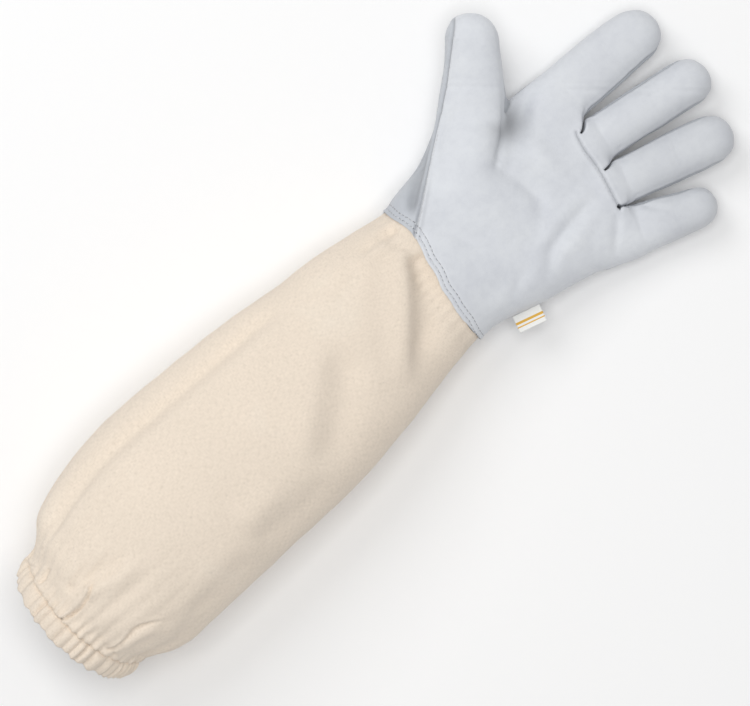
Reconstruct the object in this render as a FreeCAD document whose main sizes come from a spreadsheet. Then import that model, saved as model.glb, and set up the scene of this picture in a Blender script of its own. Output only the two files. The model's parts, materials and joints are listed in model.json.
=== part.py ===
import FreeCAD, Part
import math
import os

# Left-hand beekeeping glove: goatskin hand with a gunn-cut palm, long cotton canvas
# gauntlet and an elasticated hem.  The glove lies on its back, palm up (+Z), with the
# hem at -X, the fingertips at +X and the thumb on the +Y side.  Millimetres.

V = FreeCAD.Vector
Rot = FreeCAD.Rotation
Pl = FreeCAD.Placement

doc = FreeCAD.newDocument("beekeeping_glove")
sheet = doc.addObject("Spreadsheet::Sheet", "Dims")
D = {}


def cell(alias, value):
    """One driving dimension: a plain number in the sheet, with a name."""
    row = len(D) + 1
    sheet.set(f"B{row}", f"{value:.6g}")
    sheet.set(f"A{row}", alias)
    sheet.setAlias(f"B{row}", alias)
    D[alias] = float(f"{value:.6g}")
    return alias


# ---- driving dimensions ------------------------------------------------------------
cell("leather_thick", 1.2)
cell("canvas_thick", 0.8)
cell("shift_x", -245.639)  # brings the middle of the box over the origin
cell("shift_y", -2.866)

# hem: a folded channel of canvas with an elastic band in it
cell("hem_outer_radius", 46.0)
cell("hem_wall", 3.6)
cell("hem_length", 20.0)
cell("hem_channel_depth", 1.5)
cell("hem_channel_length", 12.0)
cell("elastic_thick", 1.2)
cell("elastic_width", 10.0)
cell("hem_start_x", -16.0)
cell("hem_centre_y", 1.0)
cell("hem_centre_z", 46.9)
cell("thread_radius", 0.35)

# gauntlet stations: x, half width, half depth, centre y, centre z
SLEEVE = [
    (4.0, 46.6, 45.8, 1.5, 46.7),
    (12.0, 50.5, 47.4, 3.0, 47.6),
    (25.0, 55.2, 49.4, 3.6, 49.4),
    (40.0, 60.0, 50.8, 4.5, 50.8),
    (60.0, 63.2, 52.0, 6.4, 52.0),
    (85.0, 65.2, 52.0, 7.8, 52.0),
    (110.0, 65.4, 51.2, 7.9, 51.2),
    (140.0, 64.6, 49.4, 6.8, 49.4),
    (170.0, 63.2, 47.0, 5.2, 47.0),
    (200.0, 60.9, 44.0, 4.0, 44.0),
    (230.0, 57.6, 40.4, 2.8, 40.4),
    (258.0, 53.9, 36.4, 2.6, 36.4),
]
for i, (x, a, b, y, z) in enumerate(SLEEVE):
    cell(f"sleeve_x_{i}", x)
    cell(f"sleeve_half_width_{i}", a)
    cell(f"sleeve_half_depth_{i}", b)
    cell(f"sleeve_centre_y_{i}", y)
    cell(f"sleeve_centre_z_{i}", z)
cell("seam_allowance_thick", 1.0)
cell("seam_allowance_width", 10.0)

# the leather hand starts at a slanted seam and runs along its own axis
cell("hand_x", 299.4)
cell("hand_y", 0.2)
cell("hand_angle", -9.2)
PALM = [
    (0.0, 48.4, 31.0, 0.0, 32.0),
    (12.0, 49.4, 29.5, 3.6, 30.5),
    (30.0, 52.8, 27.0, 4.6, 27.4),
    (48.0, 55.8, 24.5, 4.2, 24.5),
    (76.0, 56.6, 20.5, 2.9, 20.5),
    (94.0, 57.8, 17.5, 0.7, 17.5),
    (115.0, 61.6, 14.8, -1.65, 14.8),
    (135.0, 65.0, 13.4, -3.0, 13.4),
    (152.0, 66.0, 13.4, -3.4, 13.4),
]
for i, (x, a, b, y, z) in enumerate(PALM):
    cell(f"palm_x_{i}", x)
    cell(f"palm_half_width_{i}", a)
    cell(f"palm_half_depth_{i}", b)
    cell(f"palm_centre_y_{i}", y)
    cell(f"palm_centre_z_{i}", z)
cell("lap_length", 13.0)  # how far the leather laps over the canvas

cell("fourchette_width", 10.0)
cell("knuckle_range", 60.0)
cell("midjoint_range", 60.0)
cell("thumb_range", 60.0)
cell("joint_gap", 0.25)

# finger: plan angle, knuckle hinge x, y, half width at knuckle, half width near the tip,
# half depth, length to the middle joint, length from there to the tip end, sides that
# carry a fourchette (-1 towards the little finger, +1 towards the thumb)
FINGERS = {
    "index": (-4.2, 436.5, 22.6, 17.8, 15.4, 12.8, 33.0, 34.4, (-1,)),
    "middle": (-11.9, 432.7, -11.9, 14.2, 14.0, 12.8, 37.0, 37.4, (-1, 1)),
    "ring": (-20.4, 424.7, -40.1, 14.0, 13.8, 12.6, 34.0, 35.5, (-1, 1)),
    "little": (-27.1, 410.5, -66.6, 14.2, 12.6, 11.6, 23.0, 24.3, (1,)),
}
for f, (ang, hx, hy, a0, a1, b, l1, l2, _s) in FINGERS.items():
    cell(f"{f}_angle", ang)
    cell(f"{f}_hinge_x", hx)
    cell(f"{f}_hinge_y", hy)
    cell(f"{f}_base_half_width", a0)
    cell(f"{f}_tip_half_width", a1)
    cell(f"{f}_half_depth", b)
    cell(f"{f}_base_length", l1)
    cell(f"{f}_tip_length", l2)
cell("thumb_angle", 45.0)
cell("thumb_pitch", 10.0)
cell("thumb_hinge_x", 396.0)
cell("thumb_hinge_y", 63.5)
cell("thumb_centre_z", 31.0)
cell("thumb_half_width", 19.6)
cell("thumb_half_depth", 13.2)
cell("thumb_root_half_width", 23.0)
cell("thumb_root_half_depth", 15.5)
cell("thumb_root_length", 50.0)
cell("thumb_tip_length", 45.0)
cell("label_width", 18.0)
cell("label_drop", 11.0)
cell("label_thick", 0.8)
doc.recompute()

T = D["leather_thick"]
SHIFT = V(D["shift_x"], D["shift_y"], 0)
made = {}


# ---- helpers -----------------------------------------------------------------------
def plane(body, role):
    return [o for o in body.Origin.OriginFeatures if o.Role == role][0]


def new_body(name):
    return doc.addObject("PartDesign::Body", name)


def stadium(body, name, centre, half_width, half_depth, inset=0.0, rot=None, bind=None):
    """A section across X with flat top and bottom and round ends, its two sizes constrained
    and bound to the sheet.  centre is (x, y, z) in the body; bind is (width expression,
    depth expression, x, y, z expressions)."""
    sk = body.newObject("Sketcher::SketchObject", name)
    sk.AttachmentSupport = [(plane(body, "YZ_Plane"), "")]
    sk.MapMode = "FlatFace"
    # the plane's own x is Y, its y is Z and its normal is X
    sk.AttachmentOffset = Pl(V(centre[1], centre[2], centre[0]), rot or Rot())
    b = half_depth - inset
    c = half_width - half_depth
    up, r = V(0, 0, 1), math.pi / 2
    sk.addGeometry(
        [
            Part.LineSegment(V(-c, b, 0), V(c, b, 0)),
            Part.ArcOfCircle(Part.Circle(V(c, 0, 0), up, b), -r, r),
            Part.LineSegment(V(-c, -b, 0), V(c, -b, 0)),
            Part.ArcOfCircle(Part.Circle(V(-c, 0, 0), up, b), r, 3 * r),
        ]
    )
    import Sketcher

    C = Sketcher.Constraint
    sk.addConstraint(
        [
            C("Tangent", 0, 2, 1, 2),
            C("Tangent", 1, 1, 2, 2),
            C("Tangent", 2, 1, 3, 2),
            C("Tangent", 3, 1, 0, 1),
            C("Horizontal", 0),
            C("Horizontal", 2),
            C("Symmetric", 1, 3, 3, 3, -1, 1),
        ]
    )
    k = sk.addConstraint(C("Radius", 1, b))
    sk.renameConstraint(k, "end_radius")
    k = sk.addConstraint(C("DistanceX", 3, 3, 1, 3, 2 * c))
    sk.renameConstraint(k, "centres")
    if bind:
        w, d, x, y, z = bind
        less = f" - {inset:g}" if inset and not isinstance(inset, str) else ""
        if inset == D["leather_thick"]:
            less = " - Dims.leather_thick"
        elif inset == D["canvas_thick"]:
            less = " - Dims.canvas_thick"
        elif inset < 0:
            less = f" + {-inset:g}"
        sk.setExpression("Constraints.end_radius", f"{d}{less}")
        sk.setExpression("Constraints.centres", f"2 * (({w}) - ({d}))")
        for axis, e in (("z", x), ("x", y), ("y", z)):
            if e:
                sk.setExpression(f"AttachmentOffset.Base.{axis}", e)
    return sk


def loft(body, kind, name, sketches):
    f = body.newObject(f"PartDesign::{kind}Loft", name)
    f.Profile = sketches[0]
    f.Sections = sketches[1:]
    f.Ruled = True
    f.Closed = False
    return f


def box(name, size, place, bind=None):
    o = doc.addObject("Part::Box", name)
    o.Length, o.Width, o.Height = size
    for prop, e in (bind or {}).items():
        o.setExpression(prop, e)
    o.Placement = place
    return o


def boolean(kind, name, base, tool):
    o = doc.addObject(f"Part::{kind}", name)
    o.Base, o.Tool = base, tool
    return o


def keep(label, obj):
    obj.Label = label
    made[label] = obj
    return obj


def tube(name, prefix, stations, wall, place, outset=0.0):
    """A hollow tube through the stations of the sheet's table called prefix."""
    body = new_body(name)

    def row(tag, inset):
        out = []
        for i, (x, a, b, y, z) in enumerate(stations):
            p = f"Dims.{prefix}_"
            out.append(
                stadium(
                    body, f"{name}_{tag}{i}", (x, y, z), a, b, inset,
                    bind=(f"{p}half_width_{i}", f"{p}half_depth_{i}", f"{p}x_{i}", f"{p}centre_y_{i}", f"{p}centre_z_{i}"),
                )
            )  # fmt: skip
        return out

    loft(body, "Additive", f"{name}_outer", row("o", outset))
    loft(body, "Subtractive", f"{name}_inner", row("i", outset + wall))
    body.Placement = place
    return body


# ---- hem and gauntlet --------------------------------------------------------------
GLOBAL = Pl(SHIFT, Rot())
HEM = Pl(SHIFT + V(D["hem_start_x"], D["hem_centre_y"], D["hem_centre_z"]), Rot())


def rectangle(sk, x, y, w, h, names=None):
    """A constrained rectangle at (x, y); names binds x, y, w, h to expressions."""
    import Sketcher

    C = Sketcher.Constraint
    n = sk.GeometryCount
    p = [V(x, y, 0), V(x + w, y, 0), V(x + w, y + h, 0), V(x, y + h, 0)]
    sk.addGeometry([Part.LineSegment(p[i], p[(i + 1) % 4]) for i in range(4)])
    sk.addConstraint([C("Coincident", n + i, 2, n + (i + 1) % 4, 1) for i in range(4)])
    sk.addConstraint([C("Horizontal", n), C("Vertical", n + 1), C("Horizontal", n + 2), C("Vertical", n + 3)])  # fmt: skip
    made_c = []
    for tag, args in (
        ("w", ("DistanceX", n, 1, n, 2, w)),
        ("h", ("DistanceY", n + 1, 1, n + 1, 2, h)),
        ("x", ("DistanceX", -1, 1, n, 1, x)),
        ("y", ("DistanceY", -1, 1, n, 1, y)),
    ):
        if tag in "xy" and abs({"x": x, "y": y}[tag]) < 1e-9:
            sk.addConstraint(C("PointOnObject", n, 1, -2 if tag == "x" else -1))
            continue
        k = sk.addConstraint(C(*args))
        name = f"{tag}{n}"
        sk.renameConstraint(k, name)
        if names and names.get(tag):
            sk.setExpression(f"Constraints.{name}", names[tag])
        made_c.append(name)


def ring(name, rects, place):
    """Rectangles (x, r, length, thickness, expressions) turned about X."""
    body = new_body(name)
    sk = body.newObject("Sketcher::SketchObject", f"{name}_profile")
    sk.AttachmentSupport = [(plane(body, "XY_Plane"), "")]
    sk.MapMode = "FlatFace"
    for x, y, w, h, names in rects:
        rectangle(sk, x, y, w, h, names)
    rev = body.newObject("PartDesign::Revolution", f"{name}_turned")
    rev.Profile = sk
    rev.ReferenceAxis = (plane(body, "X_Axis"), [""])
    rev.Angle = 360.0
    body.Placement = place
    return body


r_in = D["hem_outer_radius"] - D["hem_wall"]
gap_x = (D["hem_length"] - D["hem_channel_length"]) / 2
r_ch = r_in + (D["hem_wall"] - D["hem_channel_depth"]) / 2
el_x = (D["hem_length"] - D["elastic_width"]) / 2
el_r = r_in + (D["hem_wall"] - D["elastic_thick"]) / 2
keep(
    "hem_casing",
    ring(
        "HemCasing",
        [
            (0, r_in, D["hem_length"], D["hem_wall"], {"w": "Dims.hem_length", "h": "Dims.hem_wall", "y": "Dims.hem_outer_radius - Dims.hem_wall"}),
            (gap_x, r_ch, D["hem_channel_length"], D["hem_channel_depth"],
             {"w": "Dims.hem_channel_length", "h": "Dims.hem_channel_depth", "x": "(Dims.hem_length - Dims.hem_channel_length) / 2",
              "y": "Dims.hem_outer_radius - Dims.hem_wall / 2 - Dims.hem_channel_depth / 2"}),
        ],
        HEM,
    ),
)  # fmt: skip
keep(
    "elastic_band",
    ring(
        "ElasticBand",
        [
            (el_x, el_r, D["elastic_width"], D["elastic_thick"],
             {"w": "Dims.elastic_width", "h": "Dims.elastic_thick", "x": "(Dims.hem_length - Dims.elastic_width) / 2",
              "y": "Dims.hem_outer_radius - Dims.hem_wall / 2 - Dims.elastic_thick / 2"})
        ],
        HEM,
    ),
)  # fmt: skip
stitch = doc.addObject("Part::Torus", "HemStitching")
stitch.setExpression("Radius1", "Dims.hem_outer_radius + Dims.thread_radius + 0.03")
stitch.setExpression("Radius2", "Dims.thread_radius")
stitch.Placement = HEM.multiply(Pl(V(D["hem_length"] - 2.0, 0, 0), Rot(V(0, 1, 0), 90)))
keep("hem_stitching", stitch)

keep("sleeve_canvas", tube("SleeveCanvas", "sleeve", SLEEVE, D["canvas_thick"], GLOBAL))

# the seam allowance: two folded edges of canvas lying inside the gauntlet on the
# little-finger side
allowance = tube(
    "SeamAllowance", "sleeve", SLEEVE, D["seam_allowance_thick"], GLOBAL, outset=D["canvas_thick"] + 0.02
)
strip = box(
    "AllowanceStrip",
    (246.0, 80.0, D["seam_allowance_width"]),
    Pl(SHIFT + V(8.0, -80.0, 37.0), Rot()),
    {"Height": "Dims.seam_allowance_width"},
)
keep("sleeve_seam_allowance", boolean("Common", "SleeveSeamAllowance", allowance, strip))

# the wrist end of the gauntlet, which folds as the wrist bends and runs on under the leather
HAND = Pl(SHIFT + V(D["hand_x"], D["hand_y"], 0), Rot(V(0, 0, 1), D["hand_angle"]))
turn = Rot(V(0, 1, 0), 0)


def wrist_section(body, tag, i, inset):
    """Sections of the wrist canvas: square to X at the gauntlet, square to the hand's axis
    under the leather."""
    x, a, b, y, z = SLEEVE[-1]
    if i == 0:
        p = f"Dims.sleeve_"
        n = len(SLEEVE) - 1
        return stadium(
            body, f"WristCanvas_{tag}0", (x + 0.02, y, z), a, b, inset,
            bind=(f"{p}half_width_{n}", f"{p}half_depth_{n}", f"{p}x_{n} + 0.02", f"{p}centre_y_{n}", f"{p}centre_z_{n}"),
        )  # fmt: skip
    ang = math.radians(D["hand_angle"])
    hx, hy = D["hand_x"], D["hand_y"]
    lx, a, b, ly, z = {
        1: (-20.0, 49.6, 33.0, 0.6, 33.6),
        2: (0.0, 46.9, 29.5, 0.0, 32.0),
        3: (D["lap_length"], 46.6, 27.6, 3.2, 30.3),
    }[i]
    gx = hx + lx * math.cos(ang) - ly * math.sin(ang)
    gy = hy + lx * math.sin(ang) + ly * math.cos(ang)
    # the section's plane turns with the hand about Z, which is its own y axis
    return stadium(
        body, f"WristCanvas_{tag}{i}", (gx, gy, z), a, b, inset,
        rot=Rot(V(0, 1, 0), D["hand_angle"]),
    )  # fmt: skip


wrist = new_body("WristCanvas")
loft(wrist, "Additive", "WristCanvas_outer", [wrist_section(wrist, "o", i, 0.0) for i in range(4)])
loft(wrist, "Subtractive", "WristCanvas_inner", [wrist_section(wrist, "i", i, D["canvas_thick"]) for i in range(4)])  # fmt: skip
wrist.Placement = GLOBAL
keep("sleeve_wrist_canvas", wrist)

# ---- leather hand ------------------------------------------------------------------
palm_shell = tube("PalmShell", "palm", PALM, T, HAND)


def seg_place(x, y, z, angle, pitch):
    return Pl(SHIFT + V(x, y, z), Rot(V(0, 0, 1), angle).multiply(Rot(V(0, 1, 0), -pitch)))


def cutter(name, place, half_angle_deg, half_len, up=30.0, down=45.0, up_expr=None):
    """The wedge and slit that part two rigid spans of leather at a hinge.  The wedge's
    point is on the hinge axis and it opens towards the palm."""
    w = doc.addObject("Part::Wedge", name + "_wedge")
    g = D["joint_gap"]
    t = math.tan(math.radians(half_angle_deg + 1.5)) * up
    w.Xmin, w.Xmax, w.Ymin, w.Ymax = -g, g, -0.02, up
    w.Zmin, w.Zmax, w.Z2min, w.Z2max = -half_len, half_len, -half_len, half_len
    w.X2min, w.X2max = -t - g, t + g
    for prop in ("Xmin", "Xmax"):
        w.setExpression(prop, ("-" if prop == "Xmin" else "") + "Dims.joint_gap")
    if up_expr:
        w.setExpression("X2max", f"{up:g} * tan(({up_expr}) / 2 * 1deg + 1.5deg) + Dims.joint_gap")
        w.setExpression("X2min", f"-({up:g} * tan(({up_expr}) / 2 * 1deg + 1.5deg) + Dims.joint_gap)")
    w.Placement = place.multiply(Pl(V(), Rot(V(1, 0, 0), 90)))
    s = box(name + "_slit", (2 * g, 2 * half_len, down), place.multiply(Pl(V(-g, -half_len, -down), Rot())), {"Length": "2 * Dims.joint_gap"})  # fmt: skip
    return boolean("Fuse", name, w, s)


def finger_tube(name, finger, part, length, widths, depth, place, closed):
    """One span of a finger in the hinge's frame: the hinge axis is at z = 0 and the tube's
    middle lies below it.  widths are half widths at the start and end."""
    body = new_body(name)
    drop = 0.6 * D[f"{finger}_half_depth"]
    e_drop = f"-0.6 * Dims.{finger}_half_depth"
    d = f"Dims.{finger}_half_depth"
    w0, w1 = widths
    L = D[length]
    eL = f"Dims.{length}"
    r0 = 0.0
    if closed:
        # the tip rounds off over about one half width
        k = D[f"{finger}_tip_half_width"] * 0.95
        steps = [(0.0, 0.0, 1.0), (0.0, k, 1.0), (1.0, 0.62 * k, 0.93), (1.0, 0.30 * k, 0.74), (1.0, 0.10 * k, 0.47), (1.0, 0.0, 0.22)]
    else:
        steps = [(0.0, 0.0, 1.0), (1.0, 0.0, 1.0)]

    def row(tag, inset):
        out = []
        for i, (from_end, back, s) in enumerate(steps):
            if closed and i == 1:
                x, ex = L - k, f"{eL} - {k:g}"
            elif from_end:
                x, ex = L - back, f"{eL} - {back:g}"
            else:
                x, ex = 0.0, None
            share = x / L if L else 0
            a = w0[0] + (w1[0] - w0[0]) * (share if not closed or i else 0)
            ea = f"({w0[1]} + ({w1[1]} - {w0[1]}) * {share:.4f})"
            b = D[f"{finger}_half_depth"]
            if inset and closed and from_end:
                # the cavity stops one leather thickness short of the tip
                x, ex = x - inset, f"{ex} - Dims.leather_thick"
            sc = s
            bb, eb = b * (0.35 + 0.65 * sc) if sc < 1 else b, (f"{d} * {0.35 + 0.65 * sc:.4f}" if sc < 1 else d)
            aa, eaa = a * sc, f"{ea} * {sc:g}"
            if aa < bb + 0.6:
                aa, eaa = bb + 0.6, f"({eb}) + 0.6"
            if sc < 0.3:
                bb, eb = b * 0.3, f"{d} * 0.3"
                aa, eaa = bb + 1.6, f"({eb}) + 1.6"
            out.append(
                stadium(body, f"{name}_{tag}{i}", (x, 0.0, -drop), aa, bb, inset, bind=(eaa, eb, ex, None, e_drop))
            )
        return out

    loft(body, "Additive", f"{name}_outer", row("o", 0.0))
    loft(body, "Subtractive", f"{name}_inner", row("i", T))
    body.Placement = place
    return body


def split(shell, stem, finger, place, length, sides, names):
    """Cuts a finger span into its front leather, back leather and side strips."""
    drop = 0.6 * D[f"{finger}_half_depth"]
    up = box(f"{stem}_upper", (length + 30, 80, 40), place.multiply(Pl(V(-15, -40, -drop), Rot())))
    low = box(f"{stem}_lower", (length + 30, 80, 40), place.multiply(Pl(V(-15, -40, -drop - 40), Rot())))
    front = boolean("Common", f"{stem}_front_half", shell, up)
    back = boolean("Common", f"{stem}_back_half", shell, low)
    w = D["fourchette_width"]
    for side in sides:
        y0 = -40.0 if side < 0 else 0.0
        sb = box(
            f"{stem}_strip{side}",
            (length + 30, 40, w),
            place.multiply(Pl(V(-15, y0, -drop - w / 2), Rot())),
            {"Height": "Dims.fourchette_width"},
        )
        strip_ = boolean("Common", f"{stem}_fourchette{side}", shell, sb)
        keep(names[side], strip_)
        front = boolean("Cut", f"{stem}_front_less{side}", front, sb)
        back = boolean("Cut", f"{stem}_back_less{side}", back, sb)
    keep(names["front"], front)
    keep(names["back"], back)


hinges = {}
cuts = []
for f, (ang, hx, hy, a0, a1, b, l1, l2, sides) in FINGERS.items():
    drop = 0.6 * b
    zc = 13.4
    p0, p1 = 2.0, 6.0  # the finger curls up a little from its root
    place0 = seg_place(hx, hy, zc + drop, ang, p0)
    mid = place0.multVec(V(l1, 0, 0))
    place1 = Pl(mid, Rot(V(0, 0, 1), ang).multiply(Rot(V(0, 1, 0), -p1)))
    am = a0 + (a1 - a0) * 0.45
    e0, e1 = f"Dims.{f}_base_half_width", f"Dims.{f}_tip_half_width"
    em = f"({e0} + ({e1} - {e0}) * 0.45)"
    base = finger_tube(f"{f.title()}Base", f, "base", f"{f}_base_length", ((a0, e0), (am, em)), b, place0, False)
    tip = finger_tube(f"{f.title()}Tip", f, "tip", f"{f}_tip_length", ((am, em), (a1, e1)), b, place1, True)
    k0 = cutter(f"{f.title()}KnuckleCut", seg_place(hx, hy, zc + drop, ang, 1.0), D["knuckle_range"] / 2, 24.0, up_expr="Dims.knuckle_range")
    k1 = cutter(f"{f.title()}MidCut", Pl(mid, Rot(V(0, 0, 1), ang).multiply(Rot(V(0, 1, 0), -4.0))), D["midjoint_range"] / 2, 30.0, up_expr="Dims.midjoint_range")
    cuts.append((f, k0, ang, hx, hy))
    b1 = boolean("Cut", f"{f.title()}BaseCut0", base, k0)
    b2 = boolean("Cut", f"{f.title()}BaseCut1", b1, k1)
    t1 = boolean("Cut", f"{f.title()}TipCut", tip, k1)
    side_name = {-1: "little_side", 1: "thumb_side"}
    n0 = {"front": f"{f}_front", "back": f"{f}_back"}
    n1 = {"front": f"{f}_tip_front", "back": f"{f}_tip_back"}
    for s in sides:
        n0[s] = f"{f}_fourchette_{side_name[s]}"
        n1[s] = f"{f}_tip_fourchette_{side_name[s]}"
    split(b2, f"{f.title()}B", f, place0, l1, sides, n0)
    split(t1, f"{f.title()}T", f, place1, l2, sides, n1)
    hinges[f + "_knuckle"] = (V(hx, hy, zc + drop) + SHIFT, ang)
    hinges[f + "_middle"] = (mid, ang)

# the palm ends where the fingers begin: one plane per finger
palm = palm_shell
for f, k0, ang, hx, hy in cuts:
    far = box(
        f"{f.title()}Ahead", (60.0, 240.0, 80.0),
        Pl(SHIFT + V(hx, hy, -20.0), Rot(V(0, 0, 1), ang)).multiply(Pl(V(-D["joint_gap"], -120.0, 0), Rot())),
    )  # fmt: skip
    palm = boolean("Cut", f"PalmTo{f.title()}", palm, far)
for f, k0, ang, hx, hy in cuts:
    lateral = {"index": (22.0, 18.0), "middle": (14.4, 14.4), "ring": (14.2, 14.2), "little": (15.2, 22.0)}[f]
    hb = D[f"{f}_half_depth"]
    place = seg_place(hx, hy, 13.4 + 0.6 * hb, ang, 1.0)
    # the palm's share of the wedge, no wider than the finger it serves
    w = doc.addObject("Part::Wedge", f"{f.title()}PalmNotch")
    t = math.tan(math.radians(D["knuckle_range"] / 2 + 1.5)) * 30.0
    w.Xmin, w.Xmax, w.Ymin, w.Ymax = -D["joint_gap"], 5.0, -0.02, 30.0
    w.Zmin, w.Zmax, w.Z2min, w.Z2max = -lateral[0], lateral[1], -lateral[0], lateral[1]
    w.X2min, w.X2max = -t, 5.0
    w.setExpression("X2min", "-30 * tan(Dims.knuckle_range / 2 * 1deg + 1.5deg)")
    w.Placement = place.multiply(Pl(V(), Rot(V(1, 0, 0), 90)))
    palm = boolean("Cut", f"PalmNotch{f.title()}", palm, w)

# thumb: root tube out of the palm and a tip beyond its joint
ta, tp = D["thumb_angle"], D["thumb_pitch"]
tb, tw = D["thumb_half_depth"], D["thumb_half_width"]
THUMB = seg_place(D["thumb_hinge_x"], D["thumb_hinge_y"], D["thumb_centre_z"] + 0.6 * tb, ta, tp)


def thumb_root(name, inset, solid=True):
    body = new_body(name)
    L, rw, rd = D["thumb_root_length"], D["thumb_root_half_width"], D["thumb_root_half_depth"]

    def row(tag, ins):
        rows = [(-L, rw, rd, "Dims.thumb_root_half_width", "Dims.thumb_root_half_depth", "-Dims.thumb_root_length"),
                (-L / 2, (rw + tw) / 2 + 0.4, (rd + tb) / 2, "(Dims.thumb_root_half_width + Dims.thumb_half_width) / 2 + 0.4", "(Dims.thumb_root_half_depth + Dims.thumb_half_depth) / 2", "-Dims.thumb_root_length / 2"),
                (0.0, tw, tb, "Dims.thumb_half_width", "Dims.thumb_half_depth", None)]  # fmt: skip
        return [
            stadium(body, f"{name}_{tag}{i}", (x, 0, -0.6 * tb), a, d, ins, bind=(ea, ed, ex, None, "-0.6 * Dims.thumb_half_depth"))
            for i, (x, a, d, ea, ed, ex) in enumerate(rows)
        ]

    loft(body, "Additive", f"{name}_outer", row("o", 0.0))
    if not solid:
        loft(body, "Subtractive", f"{name}_inner", row("i", inset))
    body.Placement = THUMB
    return body


thumb_core = thumb_root("ThumbRootSolid", 0.0)
thumb_shell = thumb_root("ThumbRootShell", T, solid=False)
palm_core = new_body("PalmSolid")
loft(
    palm_core, "Additive", "PalmSolid_outer",
    [
        stadium(palm_core, f"PalmSolid_o{i}", (x, y, z), a, b, 0.0,
                bind=(f"Dims.palm_half_width_{i}", f"Dims.palm_half_depth_{i}", f"Dims.palm_x_{i}", f"Dims.palm_centre_y_{i}", f"Dims.palm_centre_z_{i}"))
        for i, (x, a, b, y, z) in enumerate(PALM)
    ],
)  # fmt: skip
palm_core.Placement = HAND
thumb_cut = cutter("ThumbJointCut", THUMB, D["thumb_range"] / 2, 26.0, up_expr="Dims.thumb_range")
root = boolean("Cut", "ThumbRootOutside", thumb_shell, palm_core)
root = boolean("Cut", "ThumbRootCut", root, thumb_cut)
palm = boolean("Cut", "PalmThumbHole", palm, thumb_core)


def finger_like_thumb():
    body = new_body("ThumbTip")
    L = D["thumb_tip_length"]
    k = 15.0
    rows = [(0.0, 1.0, 1.0), (L * 0.4, 0.97, 1.0), (L - k, 0.87, 0.98), (L - 0.62 * k, 0.80, 0.90), (L - 0.30 * k, 0.64, 0.72), (L - 0.10 * k, 0.42, 0.50), (L, 0.26, 0.30)]  # fmt: skip

    def row(tag, ins):
        out = []
        for i, (x, sa, sb) in enumerate(rows):
            xx = x - (ins if i > 2 else 0.0)
            ex = None if i == 0 else f"Dims.thumb_tip_length * {x / L:.5f}" + (" - Dims.leather_thick" if ins and i > 2 else "")
            out.append(
                stadium(body, f"ThumbTip_{tag}{i}", (xx, 0, -0.6 * tb), tw * sa, tb * sb, ins,
                        bind=(f"Dims.thumb_half_width * {sa:g}", f"Dims.thumb_half_depth * {sb:g}", ex, None, "-0.6 * Dims.thumb_half_depth"))
            )  # fmt: skip
        return out

    loft(body, "Additive", "ThumbTip_outer", row("o", 0.0))
    loft(body, "Subtractive", "ThumbTip_inner", row("i", T))
    body.Placement = THUMB
    return body


ttip = boolean("Cut", "ThumbTipCut", finger_like_thumb(), thumb_cut)
split(root, "ThumbR", "thumb", THUMB.multiply(Pl(V(-60, 0, 0), Rot())), 60.0, (), {"front": "thumb_front", "back": "thumb_back"})
split(ttip, "ThumbT", "thumb", THUMB, 45.0, (), {"front": "thumb_tip_front", "back": "thumb_tip_back"})
hinges["thumb"] = (THUMB.Base, ta)

# palm and back meet along the side seams, which drop from mid wrist to mid finger
SEAM = HAND.multiply(Pl(V(0, 0, 32.0), Rot(V(0, 1, 0), math.degrees(math.atan2(32.0 - 13.4, 135.0)))))
above = box("AboveSideSeams", (260.0, 260.0, 80.0), SEAM.multiply(Pl(V(-60, -130, 0), Rot())))
below = box("BelowSideSeams", (260.0, 260.0, 80.0), SEAM.multiply(Pl(V(-60, -130, -80), Rot())))
upper = boolean("Common", "PalmUpper", palm, above)
keep("back_panel", boolean("Common", "BackPanel", palm, below))

# gunn cut: the front leather of the middle and ring fingers ends in a seam on the palm
GUNN = [(421.7, 1.6), (421.7, -0.3), (418.7, -11.6), (417.4, -25.4), (414.1, -34.8), (411.2, -44.6), (410.8, -48.4), (419.5, -55.5), (452.0, -72.0), (452.0, 2.2), (436.5, 2.2)]  # fmt: skip


def prism(name, points, z0, height):
    """A flat outline raised to a solid."""
    sk = doc.addObject("Sketcher::SketchObject", name + "_outline")
    pts = [V(x, y, 0) for x, y in points]
    sk.addGeometry([Part.LineSegment(pts[i], pts[(i + 1) % len(pts)]) for i in range(len(pts))])
    import Sketcher

    for i in range(len(pts)):
        sk.addConstraint(Sketcher.Constraint("Coincident", i, 2, (i + 1) % len(pts), 1))
        sk.addConstraint(Sketcher.Constraint("Block", i))
    e = doc.addObject("Part::Extrusion", name)
    e.Base = sk
    e.DirMode = "Custom"
    e.Dir = V(0, 0, 1)
    e.LengthFwd = height
    e.Solid = True
    sk.Placement = Pl(SHIFT + V(0, 0, z0), Rot())
    return e


gunn = prism("GunnOutline", GUNN, -5.0, 80.0)
keep("middle_ring_insert", boolean("Common", "MiddleRingInsert", upper, gunn))
keep("palm_panel", boolean("Cut", "PalmPanel", upper, gunn))

# thread: two rows round the wrist and one row along the gunn seam
for n, lx in ((1, 3.5), (2, 9.0)):
    s = lx / 12.0
    a, b, y, z = (PALM[0][k] + (PALM[1][k] - PALM[0][k]) * s for k in (1, 2, 3, 4))
    body = new_body(f"WristStitching{n}")
    o = stadium(body, f"WristStitching{n}_o", (lx, y, z), a + 0.95, b + 0.95, 0.0)
    p = body.newObject("PartDesign::Pad", f"WristStitching{n}_pad")
    p.Profile = o
    p.setExpression("Length", "2 * Dims.thread_radius")
    i_ = stadium(body, f"WristStitching{n}_i", (lx, y, z), a + 0.3, b + 0.3, 0.0)
    q = body.newObject("PartDesign::Pocket", f"WristStitching{n}_bore")
    q.Profile = i_
    q.Type = "ThroughAll"
    q.Midplane = True
    body.Placement = HAND
    keep(f"wrist_stitching_{n}", body)

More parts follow.
